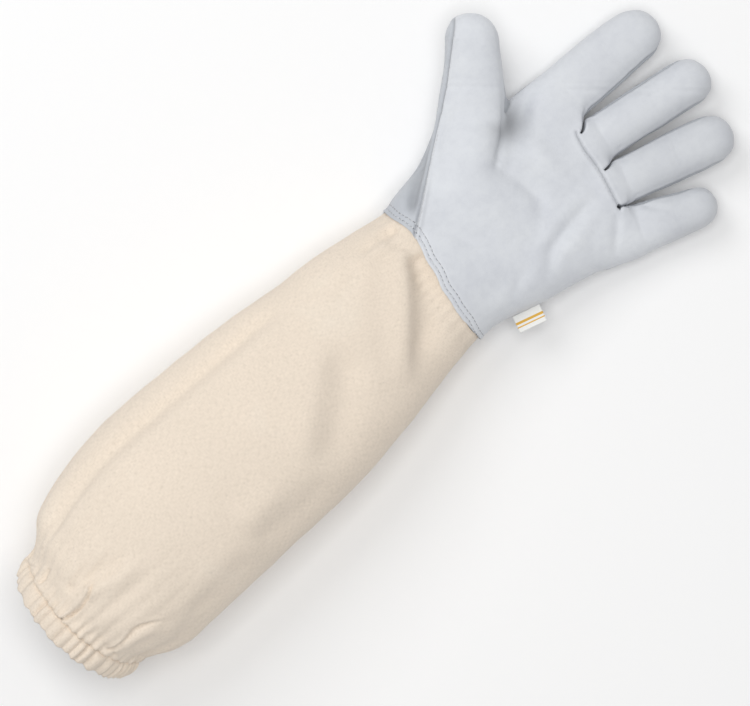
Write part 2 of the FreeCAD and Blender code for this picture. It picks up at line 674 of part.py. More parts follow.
thread_layer = new_body("ThreadLayer")
for tag, kind, inset in (("o", "Additive", -0.65), ("i", "Subtractive", -0.1)):
    loft(
        thread_layer, kind, f"ThreadLayer_{tag}",
        [
            stadium(thread_layer, f"ThreadLayer_{tag}{i}", (x, y, z), a, b, inset,
                    bind=(f"Dims.palm_half_width_{i}", f"Dims.palm_half_depth_{i}", f"Dims.palm_x_{i}", f"Dims.palm_centre_y_{i}", f"Dims.palm_centre_z_{i}"))
            for i, (x, a, b, y, z) in enumerate(PALM) if i >= 5
        ],
    )  # fmt: skip
thread_layer.Placement = HAND
line = [(421.0, -2.5), (418.0, -11.7), (416.7, -25.6), (413.4, -35.0), (410.6, -44.2)]
back_line = [(x - 0.7, y - 0.1) for x, y in reversed(line)]
band = prism("GunnThreadOutline", line + back_line, 20.0, 40.0)
keep("gunn_stitching", boolean("Common", "GunnStitching", thread_layer, band))

# label: a woven tag caught in the side seam near the wrist on the little-finger side
LABEL = Pl(SHIFT + V(316.9, -52.45, 27.4), Rot(V(0, 0, 1), -19.0))
lab = new_body("LabelTag")
sk = lab.newObject("Sketcher::SketchObject", "LabelTag_outline")
sk.AttachmentSupport = [(plane(lab, "XY_Plane"), "")]
sk.MapMode = "FlatFace"
rectangle(sk, 0, -D["label_drop"], D["label_width"], D["label_drop"], {"w": "Dims.label_width", "h": "Dims.label_drop", "y": "-Dims.label_drop"})  # fmt: skip
pad = lab.newObject("PartDesign::Pad", "LabelTag_pad")
pad.Profile = sk
pad.Midplane = True
pad.setExpression("Length", "Dims.label_thick")
lab.Placement = LABEL
keep("label_tag", lab)

# ---- check and export --------------------------------------------------------------
doc.recompute()
bad = [o.Name for o in doc.Objects if "Invalid" in o.State or "Error" in o.State]
if bad:
    raise SystemExit(f"objects that did not build: {bad}")
for label, obj in made.items():
    s = obj.Shape
    if s.isNull() or not s.isValid() or not s.Solids or min(x.Volume for x in s.Solids) < 0.01:
        raise SystemExit(f"{label} is not a good solid: null {s.isNull()}, solids {len(s.Solids)}, {[round(x.Volume, 3) for x in s.Solids]}")
os.makedirs("parts", exist_ok=True)
for old in os.listdir("parts"):
    if old.endswith(".step") and old[:-5] not in made:
        os.remove(os.path.join("parts", old))
total = FreeCAD.BoundBox()
for label, obj in made.items():
    obj.Shape.exportStep(f"parts/{label}.step")
    total.add(obj.Shape.BoundBox)
    print(f"{label}: {len(obj.Shape.Solids)} solid(s), {obj.Shape.Volume:.1f} mm3")
print(f"box x {total.XMin:.3f} {total.XMax:.3f}  y {total.YMin:.3f} {total.YMax:.3f}  z {total.ZMin:.3f} {total.ZMax:.3f}")
for k, (p, ang) in hinges.items():
    a = math.radians(ang)
    print(f"hinge {k}: pos {p.x / 1000:.5f}, {p.y / 1000:.5f}, {p.z / 1000:.5f}  axis {math.sin(a):.5f}, {-math.cos(a):.5f}, 0")
print(len(made), "sub-parts")
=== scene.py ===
import math

import bpy
import numpy as np
from mathutils import Matrix, Vector, kdtree
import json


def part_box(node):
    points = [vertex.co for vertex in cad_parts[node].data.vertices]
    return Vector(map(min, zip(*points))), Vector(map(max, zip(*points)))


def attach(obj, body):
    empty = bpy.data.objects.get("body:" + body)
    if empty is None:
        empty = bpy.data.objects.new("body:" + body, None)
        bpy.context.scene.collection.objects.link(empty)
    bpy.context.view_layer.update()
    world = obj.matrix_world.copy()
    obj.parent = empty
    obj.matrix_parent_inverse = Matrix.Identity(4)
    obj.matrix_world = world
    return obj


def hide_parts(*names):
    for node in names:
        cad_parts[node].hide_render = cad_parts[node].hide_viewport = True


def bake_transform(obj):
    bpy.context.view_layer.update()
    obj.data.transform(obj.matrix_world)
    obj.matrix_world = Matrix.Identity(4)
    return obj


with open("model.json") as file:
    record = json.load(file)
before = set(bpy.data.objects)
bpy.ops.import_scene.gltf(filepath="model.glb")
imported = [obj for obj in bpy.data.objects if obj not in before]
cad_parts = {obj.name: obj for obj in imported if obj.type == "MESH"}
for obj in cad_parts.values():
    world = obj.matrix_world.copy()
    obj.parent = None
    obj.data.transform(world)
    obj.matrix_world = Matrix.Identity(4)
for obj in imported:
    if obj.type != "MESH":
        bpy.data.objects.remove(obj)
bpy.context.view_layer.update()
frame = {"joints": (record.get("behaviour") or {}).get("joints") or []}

# ------------------------------------------------------------------ design frame
# Shapes are worked out in the glove's design millimetres: the hem's folded edge is at
# x = -16 on the axis y = 1.  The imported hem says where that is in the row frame.
_lo, _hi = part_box("hem_casing")
SHIFT = np.array([_lo.x * 1000 + 16.0, (_lo.y + _hi.y) * 500 - 1.0, 0.0])
rng = np.random.default_rng(7)


def to_m(p):
    return (np.asarray(p, float) + SHIFT) * 0.001


def sstep(a, b, x):
    t = np.clip((x - a) / (b - a), 0.0, 1.0)
    return t * t * (3 - 2 * t)


def lerp(a, b, t):
    return a + (b - a) * t


def smin(a, b, k):
    h = np.clip(0.5 + 0.5 * (b - a) / k, 0.0, 1.0)
    return lerp(b, a, h) - k * h * (1 - h)


def smax(a, b, k):
    return -smin(-a, -b, k)


def gauss(x, w):
    return np.exp(-((x / w) ** 2))


class Curve1:
    """A smooth function of one variable through stations (Catmull-Rom)."""

    def __init__(self, xs, ys):
        self.x = np.array(xs, float)
        self.y = np.array(ys, float)
        d = np.gradient(self.y, self.x)
        self.d = d

    def __call__(self, q):
        q = np.clip(q, self.x[0], self.x[-1])
        i = np.clip(np.searchsorted(self.x, q, "right") - 1, 0, len(self.x) - 2)
        h = self.x[i + 1] - self.x[i]
        t = (q - self.x[i]) / h
        y0, y1, d0, d1 = self.y[i], self.y[i + 1], self.d[i] * h, self.d[i + 1] * h
        return (
            (2 * t**3 - 3 * t**2 + 1) * y0
            + (t**3 - 2 * t**2 + t) * d0
            + (-2 * t**3 + 3 * t**2) * y1
            + (t**3 - t**2) * d1
        )


def noise3(p, scale, seed=0):
    """Smooth value noise in [-1, 1] at points p (mm), lattice spacing scale."""
    q = np.asarray(p, float) / scale
    i = np.floor(q).astype(np.int64)
    f = q - i
    f = f * f * (3 - 2 * f)

    def h(ix, iy, iz):
        n = (ix * 73856093) ^ (iy * 19349663) ^ (iz * 83492791) ^ (seed * 2654435761)
        n = (n ^ (n >> 13)) * 1274126177
        n = n & 0x7FFFFFFF
        n = (n ^ (n >> 16)) & 0xFFFF
        return n / 32767.5 - 1.0

    out = 0.0
    for dx in (0, 1):
        wx = f[..., 0] if dx else 1 - f[..., 0]
        for dy in (0, 1):
            wy = f[..., 1] if dy else 1 - f[..., 1]
            for dz in (0, 1):
                wz = f[..., 2] if dz else 1 - f[..., 2]
                out = out + wx * wy * wz * h(i[..., 0] + dx, i[..., 1] + dy, i[..., 2] + dz)
    return out


# ------------------------------------------------------------------ the hand's form
HAND_O = np.array([299.4, 0.2])
HA = math.radians(-9.2)
HC, HS = math.cos(HA), math.sin(HA)


def hand_uv(p):
    dx, dy = p[..., 0] - HAND_O[0], p[..., 1] - HAND_O[1]
    return dx * HC + dy * HS, -dx * HS + dy * HC


def hand_xyz(u, v, z):
    return np.stack(
        [HAND_O[0] + u * HC - v * HS, HAND_O[1] + u * HS + v * HC, z + 0 * u], -1
    )


# palm stations along the hand: thumb-side edge, little-side edge, thickness
P_U = [-24, 0, 12, 30, 48, 62, 76, 94, 115, 135, 152]
P_TOP = [49.6, 48.4, 52.6, 57.4, 60.0, 60.6, 59.8, 58.6, 58.2, 57.0, 56.0]
P_BOT = [-49.0, -48.4, -46.2, -48.6, -51.4, -52.6, -54.0, -57.2, -62.6, -66.5, -68.0]
P_THICK = [64, 62, 58.5, 53.0, 48.5, 44.5, 40.5, 35.0, 29.0, 26.2, 26.0]
palm_top = Curve1(P_U, P_TOP)
palm_bot = Curve1(P_U, P_BOT)
palm_thick = Curve1(P_U, P_THICK)
palm_end = Curve1([-75, -45, -31, -8, 19, 40, 62], [112, 117, 122, 127, 129, 134, 134])


def palm_sdf(p):
    u, v = hand_uv(p)
    t, b, th = palm_top(u), palm_bot(u), palm_thick(u)
    a, vc = (t - b) / 2, (t + b) / 2
    zh = th / 2
    vv, zz = v - vc, p[..., 2] - zh
    n = np.where(zz < 0, 2.9, 2.35)
    q = np.maximum((np.abs(vv) / a) ** n + (np.abs(zz) / zh) ** n, 1e-9) ** (1 / n)
    r = np.sqrt(vv**2 + zz**2)
    d = r - r / q
    end = u - palm_end(v)
    return smax(d, end, 6.0)


# fingers: knuckle hinge, angle, middle hinge, length, half width and centre offset
# along s (from the knuckle hinge), half depth
FING = {
    "index": dict(o=(436.5, 22.6), a=-4.2, l1=33.0, L=68.3,
                  w=([-30, 0, 22, 43, 60], [17.6, 18.0, 17.7, 16.6, 15.2]),
                  c=([-30, 0, 22, 43, 68], [0.4, 0.2, 0.5, 0.4, -1.0]), b=12.9, tip=16.5),
    "middle": dict(o=(432.7, -11.9), a=-11.9, l1=37.0, L=75.2,
                   w=([-30, 0, 30, 60], [14.9, 14.7, 14.6, 14.3]),
                   c=([-30, 0, 30, 60, 76], [0.2, 0.2, 0.3, 0.4, -0.6]), b=12.9, tip=16.0),
    "ring": dict(o=(424.7, -40.1), a=-20.4, l1=34.0, L=70.7,
                 w=([-30, 0, 30, 50, 60], [14.3, 14.3, 15.0, 14.8, 14.0]),
                 c=([-30, 0, 30, 50, 71], [0.0, 0.0, 1.0, 1.4, 1.6]), b=12.7, tip=15.5),
    "little": dict(o=(410.5, -66.6), a=-27.1, l1=23.0, L=49.0,
                   w=([-30, 0, 13, 27, 40], [15.6, 15.2, 14.6, 13.2, 12.2]),
                   c=([-30, 0, 13, 27, 49], [-0.8, -0.7, -0.3, 0.0, 1.4]), b=11.8, tip=13.0),
}  # fmt: skip
for f in FING.values():
    r = math.radians(f["a"])
    f["d"] = np.array([math.cos(r), math.sin(r)])
    f["n"] = np.array([-math.sin(r), math.cos(r)])
    f["o"] = np.array(f["o"])
    f["wf"], f["cf"] = Curve1(*f["w"]), Curve1(*f["c"])
NAMES = list(FING)


def zmid_finger(s, l1):
    return 13.4 + 0.035 * np.maximum(s, 0) + 0.07 * np.maximum(s - l1, 0) ** 1.05


def finger_sn(f, p):
    d = p[..., :2] - f["o"]
    return d @ f["d"], d @ f["n"]


def finger_sdf(f, p):
    s, n = finger_sn(f, p)
    a = f["wf"](s)
    n = n - f["cf"](s)
    m = p[..., 2] - zmid_finger(s, f["l1"])
    b = f["b"] * (1 - 0.03 * sstep(0, f["L"], s) + 0.035 * np.cos((s - f["l1"]) / f["l1"] * math.pi))
    s0 = f["L"] - f["tip"]
    e = np.maximum(s - s0, 0) / f["tip"]
    k = 2.35
    q = np.maximum((np.abs(n) / a) ** k + (np.abs(m) / b) ** k, 1e-9) ** (1 / k)
    q = np.maximum(q**2.1 + e**2.1, 1e-9) ** (1 / 2.1)
    r = np.sqrt(n**2 + m**2 + (e * f["tip"]) ** 2)
    d = r - r / q
    return smax(d, -s - 26.0, 4.0)


TH_O = np.array([396.0, 63.5])
TH_Z, TH_PITCH = 31.0, math.radians(10)
T_D, T_N = np.array([math.sqrt(0.5)] * 2), np.array([-math.sqrt(0.5), math.sqrt(0.5)])
th_w = Curve1([-60, -40, -12, 0, 16, 26], [24, 23.5, 20.6, 19.2, 17.1, 16.2])
th_c = Curve1([-60, -12, 16, 26, 44], [0, 0.1, -0.1, 0.4, 1.8])
th_b = Curve1([-60, -40, -20, 0, 20, 44], [17, 16.5, 15, 13.6, 13.2, 12.8])


def thumb_tn(p):
    d = p[..., :2] - TH_O
    return d @ T_D, d @ T_N


def zmid_thumb(t):
    return TH_Z + np.clip(t, -60, 60) * math.tan(TH_PITCH)


def thumb_sdf(p):
    t, n = thumb_tn(p)
    m = p[..., 2] - zmid_thumb(t)
    n = n - th_c(t)
    a, b = th_w(t), th_b(t)
    e = np.maximum(t - 27.5, 0) / 17.2
    k = 2.3
    q = np.maximum((np.abs(n) / a) ** k + (np.abs(m) / b) ** k, 1e-9) ** (1 / k)
    q = np.maximum(q**2.1 + e**2.1, 1e-9) ** (1 / 2.1)
    r = np.sqrt(n**2 + m**2 + (e * 17.2) ** 2)
    d = r - r / q
    return smax(d, -t - 50.0, 6.0)


def mound(p, c, r):
    q = (p - np.array(c)) / np.array(r)
    k = np.sqrt((q**2).sum(-1))
    l = np.sqrt(((p - np.array(c)) ** 2).sum(-1))
    return l - l / np.maximum(k, 1e-6)


# crotches: where neighbouring fingers part, and the direction of the slot between them
CROTCH = {
    ("index", "middle"): ((424.6, -1.0), 8.0),
    ("middle", "ring"): ((419.0, -27.0), -10.0),
    ("ring", "little"): ((409.2, -48.6), -27.0),
}


def slot_sdf(p, fd):
    """Negative inside the thin slots that part the fingers; fd holds the distance to each finger."""
    out = np.full(p.shape[:-1], 1e3)
    for (na, nb), (c, ang) in CROTCH.items():
        r = math.radians(ang)
        d = p[..., :2] - np.array(c)
        s, n = d[..., 0] * math.cos(r) + d[..., 1] * math.sin(r), -d[..., 0] * math.sin(r) + d[..., 1] * math.cos(r)
        # past the corner of the seam the slot runs midway between the two fingers
        n = lerp(n, 0.5 * (fd[nb] - fd[na]), sstep(1.0, 11.0, s))
        width = 0.75 + 0.035 * np.clip(s, 0, 60)
        end = np.sqrt(np.maximum(-s, 0) ** 2 + n**2)
        out = np.minimum(out, np.where(s > 0, np.abs(n), end) - width)
    return out


def hand_sdf(p):
    palm = palm_sdf(p)
    fd = {k: finger_sdf(f, p) for k, f in FING.items()}
    fingers = np.minimum(np.minimum(fd["index"], fd["middle"]), np.minimum(fd["ring"], fd["little"]))
    d = smin(palm, fingers, 7.0)
    d = smax(d, -slot_sdf(p, fd), 1.6)
    thumb = smin(thumb_sdf(p), mound(p, (366, 34, 27), (27, 22, 21)), 12.0)
    d = smin(d, thumb, 13.0)
    return d


# ------------------------------------------------------------------ seams of the hand
EDGE = Curve1(
    [-60, -48, -30, -7, 10, 25, 36, 47, 60],
    [0.3, 0.0, -0.7, 1.0, 2.4, 5.2, 2.2, -1.1, -1.6],
)  # the leather's edge on the palm side


def edge_field(p):
    """Positive on the leather, zero along its lapped edge at the wrist."""
    u, v = hand_uv(p)
    front = EDGE(v)
    back = lerp(0.0, -1.4, sstep(-50, 50, v)) - 1.5 * gauss(v, 30)
    front = front + 0.45 * np.sin(v / 5.3 + 0.7) + 0.3 * np.sin(v / 2.7 + 2.0)
    return u - lerp(back, front, sstep(20, 40, p[..., 2]))


ZMID_U = Curve1([-30, 0, 30, 60, 90, 108, 140], [31.5, 31, 27, 22.5, 17.0, 13.9, 13.4])


def zmid(p):
    u, v = hand_uv(p)
    t, n = thumb_tn(p)
    z = ZMID_U(u)
    w = sstep(-46, -22, t) * sstep(24, 50, v + 0.35 * np.maximum(t + 10, 0)) * sstep(8.0, 1.5, thumb_sdf(p))
    return lerp(z, zmid_thumb(t) + 0.6, w)


# the back leather wraps round the thumb's outer edge and the thumb side of the wrist
WRAP = np.array(
    [(286.0, 7.5), (300.0, 18.0), (309.5, 25.2), (322.0, 33.6), (336.0, 43.0), (350.0, 52.6), (362.0, 60.0),
     (374.4, 67.6), (386.0, 76.2), (397.6, 85.0), (408.0, 93.4), (417.0, 101.0), (428.0, 112.0)]
)  # fmt: skip


def wrap_field(p):
    """Positive inside (palm side) of the wrap line seen in plan."""
    q = p[..., :2].reshape(-1, 2)
    best = np.full(len(q), 1e9)
    sign = np.ones(len(q))
    for a, b in zip(WRAP[:-1], WRAP[1:]):
        d = b - a
        t = np.clip(((q - a) @ d) / (d @ d), 0, 1)
        r = q - (a + t[:, None] * d)
        l = np.hypot(r[:, 0], r[:, 1])
        side = d[0] * (q[:, 1] - a[1]) - d[1] * (q[:, 0] - a[0])
        closer = l < best
        best = np.where(closer, l, best)
        sign = np.where(closer, np.where(side > 0, -1.0, 1.0), sign)
    return (best * sign).reshape(p.shape[:-1])


GUNN = np.array([(424.0, 3.0), (421.6, -0.6), (419.4, -8.0), (418.5, -13.0), (417.6, -22.0), (415.6, -30.0),
                 (413.4, -37.0), (411.3, -44.0), (409.9, -49.0), (408.0, -54.0)])  # fmt: skip


def gunn_field(p):
    """Positive beyond the gunn seam, towards the fingertips."""
    x, y = p[..., 0], p[..., 1]
    ys, xs = GUNN[::-1, 1], GUNN[::-1, 0]
    return x - np.interp(y, ys, xs)


# ------------------------------------------------------------------ surface
def surface_nets(f, origin, h):
    s = f < 0
    nx, ny, nz = f.shape
    corner = [(i, j, k) for i in (0, 1) for j in (0, 1) for k in (0, 1)]
    cnt = np.zeros((nx - 1, ny - 1, nz - 1), np.int8)
    for i, j, k in corner:
        cnt += s[i : nx - 1 + i, j : ny - 1 + j, k : nz - 1 + k]
    cell = (cnt > 0) & (cnt < 8)
    ids = np.argwhere(cell)
    index = -np.ones(cell.shape, np.int64)
    index[cell] = np.arange(len(ids))
    acc, num = np.zeros((len(ids), 3)), np.zeros(len(ids))
    for a in corner:
        for ax in range(3):
            if a[ax]:
                continue
            b = list(a)
            b[ax] = 1
            fa = f[ids[:, 0] + a[0], ids[:, 1] + a[1], ids[:, 2] + a[2]]
            fb = f[ids[:, 0] + b[0], ids[:, 1] + b[1], ids[:, 2] + b[2]]
            hit = (fa < 0) != (fb < 0)
            t = np.where(hit, fa / np.where(hit, fa - fb, 1.0), 0.0)
            p = np.array(a, float) + t[:, None] * (np.array(b) - np.array(a))
            acc += p * hit[:, None]
            num += hit
    verts = origin + h * (ids + acc / num[:, None])
    quads = []
    for ax in range(3):
        o1, o2 = [(1, 2), (2, 0), (0, 1)][ax]
        lo, hi = [slice(None)] * 3, [slice(None)] * 3
        lo[ax], hi[ax] = slice(0, -1), slice(1, None)
        a, b = s[tuple(lo)], s[tuple(hi)]
        e = np.argwhere(a != b)
        e = e[(e[:, o1] > 0) & (e[:, o2] > 0) & (e[:, o1] < f.shape[o1] - 1) & (e[:, o2] < f.shape[o2] - 1)]
        inside_first = a[e[:, 0], e[:, 1], e[:, 2]]
        c = []
        for d1, d2 in ((-1, -1), (0, -1), (0, 0), (-1, 0)):
            k = e.copy()
            k[:, o1] += d1
            k[:, o2] += d2
            c.append(index[k[:, 0], k[:, 1], k[:, 2]])
        c = np.stack(c, 1)
        c = np.where(inside_first[:, None], c, c[:, ::-1])
        quads.append(c)
    return verts, np.concatenate(quads)


def gradient(fn, p, e=0.4):
    g = np.empty_like(p)
    for i in range(3):
        d = np.zeros(3)
        d[i] = e
        g[:, i] = (fn(p + d) - fn(p - d)) / (2 * e)
    return g


def project(fn, p, times=2):
    for _ in range(times):
        g = gradient(fn, p)
        v = fn(p)
        step = np.clip(v / np.maximum((g**2).sum(1), 0.2), -0.6, 0.6)
        p = p - g * step[:, None]
    return p


def smooth(p, edges, times, amount=0.5, fn=None):
    n = len(p)
    deg = np.bincount(edges.ravel(), minlength=n).astype(float)
    for _ in range(times):
        acc = np.zeros_like(p)
        for i in range(3):
            acc[:, i] = np.bincount(edges[:, 0], p[edges[:, 1], i], n) + np.bincount(edges[:, 1], p[edges[:, 0], i], n)
        p = p + amount * (acc / deg[:, None] - p)
        if fn is not None:
            p = project(fn, p, 1)
    return p


def edges_of(faces):
    k = faces.shape[1]
    e = np.concatenate([faces[:, [i, (i + 1) % k]] for i in range(k)])
    return np.unique(np.sort(e, 1), axis=0)


def normals_of(p, tris):
    n = np.zeros_like(p)
    fn = np.cross(p[tris[:, 1]] - p[tris[:, 0]], p[tris[:, 2]] - p[tris[:, 0]])
    for i in range(3):
        for c in range(3):
            n[:, c] += np.bincount(tris[:, i], fn[:, c], len(p))
    return n / np.maximum(np.linalg.norm(n, axis=1), 1e-12)[:, None]


class Skin:
    """A triangle mesh with a region number on each triangle, cut along scalar fields."""

    def __init__(self, p, tris, region):
        self.p, self.t, self.r = p, tris, region
        self.marks = {}

    def centres(self):
        return self.p[self.t].mean(1)

    def clip(self, field, mask, name=None, snap=0.16):
        """Splits the masked triangles along field = 0; returns field at each triangle's centre."""
        phi = np.zeros(len(self.p))
        used = np.unique(self.t[mask])
        phi[used] = field(self.p[used])
        g = 1.0
        phi[np.abs(phi) < snap * g] = 0.0
        T = self.t[mask]
        R = self.r[mask]
        sg = np.sign(phi[T])
        cross = (sg.min(1) < 0) & (sg.max(1) > 0)
        keep_t, keep_r = T[~cross], R[~cross]
        C, CR, S = T[cross], R[cross], sg[cross]
        zero = (S == 0).sum(1) == 1
        # rotate so that the zero vertex (two-way cut) or the lone vertex (three-way) is first
        lone = np.where(zero, np.argmax(S == 0, 1), 0)
        s_sum = S.sum(1)
        odd = np.where(s_sum > 0, -1, 1)
        lone = np.where(zero, lone, np.argmax(S == odd[:, None], 1))
        idx = (lone[:, None] + np.arange(3)) % 3
        C = np.take_along_axis(C, idx, 1)
        base = len(self.p)
        pairs = np.concatenate([C[zero][:, [1, 2]], C[~zero][:, [0, 1]], C[~zero][:, [0, 2]]])
        pairs = np.sort(pairs, 1)
        uniq, inv = np.unique(pairs, axis=0, return_inverse=True)
        inv = inv.ravel()
        fa, fb = phi[uniq[:, 0]], phi[uniq[:, 1]]
        t = fa / (fa - fb)
        newp = self.p[uniq[:, 0]] + t[:, None] * (self.p[uniq[:, 1]] - self.p[uniq[:, 0]])
        self.p = np.concatenate([self.p, newp])
        nz, nn = int(zero.sum()), int((~zero).sum())
        m = base + inv[:nz]
        e1, e2 = base + inv[nz : nz + nn], base + inv[nz + nn :]
        Z, N = C[zero], C[~zero]
        two = np.concatenate([np.stack([Z[:, 0], Z[:, 1], m], 1), np.stack([Z[:, 0], m, Z[:, 2]], 1)])
        three = np.concatenate(
            [np.stack([N[:, 0], e1, e2], 1), np.stack([e1, N[:, 1], N[:, 2]], 1), np.stack([e1, N[:, 2], e2], 1)]
        )
        rz, rn = CR[zero], CR[~zero]
        newt = np.concatenate([keep_t, two, three])
        newr = np.concatenate([keep_r, rz, rz, rn, rn, rn])
        # unmasked neighbours that share a cut edge are split too, so that nothing cracks
        out_t, out_r = self.t[~mask], self.r[~mask]
        if len(out_t) and len(uniq):
            key = {(a, b): base + i for i, (a, b) in enumerate(uniq.tolist())}
            touched = np.isin(out_t, uniq.ravel()).sum(1) >= 2
            extra_t, extra_r, good = [], [], np.ones(len(out_t), bool)
            for i in np.nonzero(touched)[0]:
                tri = out_t[i].tolist()
                for k in range(3):
                    a, b = tri[k], tri[(k + 1) % 3]
                    m_ = key.get((min(a, b), max(a, b)))
                    if m_ is not None:
                        c = tri[(k + 2) % 3]
                        extra_t += [(a, m_, c), (m_, b, c)]
                        extra_r += [out_r[i], out_r[i]]
                        good[i] = False
                        break
            out_t, out_r = out_t[good], out_r[good]
            if extra_t:
                out_t = np.concatenate([out_t, np.array(extra_t)])
                out_r = np.concatenate([out_r, np.array(extra_r)])
        if name:
            zero_ids = used[phi[used] == 0]
            self.marks.setdefault(name, []).append(
                np.concatenate([self.p[zero_ids], newp]) if len(newp) else self.p[zero_ids]
            )
        self.t = np.concatenate([newt, out_t])
        self.r = np.concatenate([newr, out_r])
        made = np.zeros(len(self.t), bool)
        made[: len(newt)] = True
        return made, field(self.p[self.t].mean(1))


H = 1.0
gx = np.arange(290.0, 512.0, H)
gy = np.arange(-102.0, 110.0, H)
gz = np.arange(-4.0, 68.0, H)
X, Y, Z = np.meshgrid(gx, gy, gz, indexing="ij")
vol = np.empty(X.shape)
for i0 in range(0, len(gx), 40):
    sl = slice(i0, i0 + 40)
    vol[sl] = hand_sdf(np.stack([X[sl], Y[sl], Z[sl]], -1))
vol = np.maximum(vol, 291.5 - X)
verts, quads = surface_nets(vol, np.array([gx[0], gy[0], gz[0]]), H)
del X, Y, Z, vol
keep_q = (verts[quads][:, :, 0] > 293.2).all(1)
quads = quads[keep_q]
used = np.unique(quads)
remap = -np.ones(len(verts), int)
remap[used] = np.arange(len(used))
verts, quads = verts[used], remap[quads]
verts = smooth(verts, edges_of(quads), 4, 0.5, hand_sdf)
verts = project(hand_sdf, verts, 2)
d02 = np.linalg.norm(verts[quads[:, 0]] - verts[quads[:, 2]], axis=1)
d13 = np.linalg.norm(verts[quads[:, 1]] - verts[quads[:, 3]], axis=1)
short = d02 <= d13
tris = np.concatenate(
    [
        quads[short][:, [0, 1, 2]], quads[short][:, [0, 2, 3]],
        quads[~short][:, [0, 1, 3]], quads[~short][:, [1, 2, 3]],
    ]
)  # fmt: skip

# regions: 0 hand, 10+i finger base, 20+i finger tip, 5 thumb root (rides on the hand), 6 thumb tip
skin = Skin(verts, tris, np.zeros(len(tris), int))
CUT0, CUT_T, CUT_R = -8.5, -9.0, -24.0


def nearest_finger(p):
    d = np.stack([finger_sdf(f, p) for f in FING.values()], 1)
    s = np.stack([finger_sn(f, p)[0] for f in FING.values()], 1)
    k = d.argmin(1)
    return k, s[np.arange(len(p)), k], d.min(1)


# drop everything behind the leather's edge
made, ph = skin.clip(edge_field, np.ones(len(skin.t), bool), "edge")
ok = ph > 0
skin.t, skin.r = skin.t[ok], skin.r[ok]
for i, (name, f) in enumerate(FING.items()):
    c = skin.centres()
    k, s, d = nearest_finger(c)
    t_, n_ = thumb_tn(c)
    far_thumb = thumb_sdf(c) > 4.0
    m = (skin.r == 0) & (k == i) & (s > CUT0 - 4) & far_thumb
    made, ph = skin.clip(lambda p, f=f: finger_sn(f, p)[0] - CUT0, m)
    sel = made & (ph > 0)
    skin.r[sel] = 10 + i
    # everything beyond belongs to the finger
    m = skin.r == 10 + i
    cut = f["l1"] - (9.0 if name != "little" else 8.0)
    made, ph = skin.clip(lambda p, f=f, cut=cut: finger_sn(f, p)[0] - cut, m)
    skin.r[made & (ph > 0)] = 20 + i
c = skin.centres()
t_, n_ = thumb_tn(c)
m = (skin.r == 0) & (thumb_sdf(c) < 3.0) & (t_ > CUT_R - 3)
made, ph = skin.clip(lambda p: thumb_tn(p)[0] - CUT_R, m)
skin.r[made & (ph > 0)] = 5
m = skin.r == 5
made, ph = skin.clip(lambda p: thumb_tn(p)[0] - CUT_T, m)
skin.r[made & (ph > 0)] = 6

# sides: 0 front (palm), 1 back, 2 fourchette towards the thumb, 3 fourchette towards the little finger
side = np.zeros(len(skin.t), int)


class Sided:
    """Keeps the side number with the skin while it is cut, coded into the region number."""

    @staticmethod
    def code():
        skin.r = skin.r + 100 * side

    @staticmethod
    def decode():
        global side
        side = skin.r // 100
        skin.r = skin.r % 100


def mid_field(p):
    return p[:, 2] - zmid(p)


Sided.code()
m = skin.r % 100 < 7
made, ph = skin.clip(mid_field, m, "side")
skin.r[made & (ph < 0)] += 100
m = (skin.r < 7) & (np.abs(wrap_field(skin.centres())) < 9)
made, ph = skin.clip(wrap_field, m, "wrap")
c = skin.centres()
w_all = wrap_field(c)
skin.r[(skin.r < 7) & (w_all < 0)] += 100
for i, (name, f) in enumerate(FING.items()):
    sides = {"index": (-1,), "middle": (-1, 1), "ring": (-1, 1), "little": (1,)}[name]
    for sgn in (-1, 1):
        c = skin.centres()
        s, n = finger_sn(f, c)
        m = np.isin(skin.r % 100, (10 + i, 20 + i)) & (n * sgn > 0) & (skin.r < 200)
        if sgn in sides:
            def strip(p, f=f):
                s, _ = finger_sn(f, p)
                h = 4.6 * sstep(f["L"] - 3.0, f["L"] - 20.0, s) - 0.4 * sstep(f["L"] - 8.0, f["L"] - 3.0, s)
                h = h * (0.55 + 0.45 * sstep(-9, 6, s))
                return np.abs(p[:, 2] - zmid_finger(s, f["l1"])) - h

            made, ph = skin.clip(strip, m, f"fourchette_{name}")
            new = made & (ph < 0)
            skin.r[new] = skin.r[new] % 100 + (200 if sgn > 0 else 300)
        c = skin.centres()
        s, n = finger_sn(f, c)
        m = np.isin(skin.r % 100, (10 + i, 20 + i)) & (n * sgn > 0) & (skin.r < 200)
        mid = lambda p, f=f: p[:, 2] - zmid_finger(finger_sn(f, p)[0], f["l1"])
        made, ph = skin.clip(mid, m, "side" if sgn not in sides else None)
        new = made & (ph < 0)
        skin.r[new] = skin.r[new] % 100 + 100
c = skin.centres()
gy_ok = (c[:, 1] < 1.8) & (c[:, 1] > -52.5)
m = (skin.r == 0) & gy_ok & (np.abs(gunn_field(c)) < 12)
made, ph = skin.clip(gunn_field, m, "gunn")
c = skin.centres()
new = (skin.r == 0) & (c[:, 1] < 1.6) & (c[:, 1] > -51.5) & (gunn_field(c) > 0)
skin.r[new] = 1
Sided.decode()

# ------------------------------------------------------------------ surface relief
p = skin.p
nrm = normals_of(p, skin.t)
rest = p.copy()


def dist_to(points, p, reach):
    """Distance from each p to the nearest of points, up to reach."""
    tree = kdtree.KDTree(len(points))
    for i, q in enumerate(points):
        tree.insert(q, i)
    tree.balance()
    lo, hi = points.min(0) - reach, points.max(0) + reach
    near = ((p > lo) & (p < hi)).all(1)
    out = np.full(len(p), 1e3)
    idx = np.nonzero(near)[0]
    out[idx] = [tree.find(q)[2] for q in p[idx]]
    return out


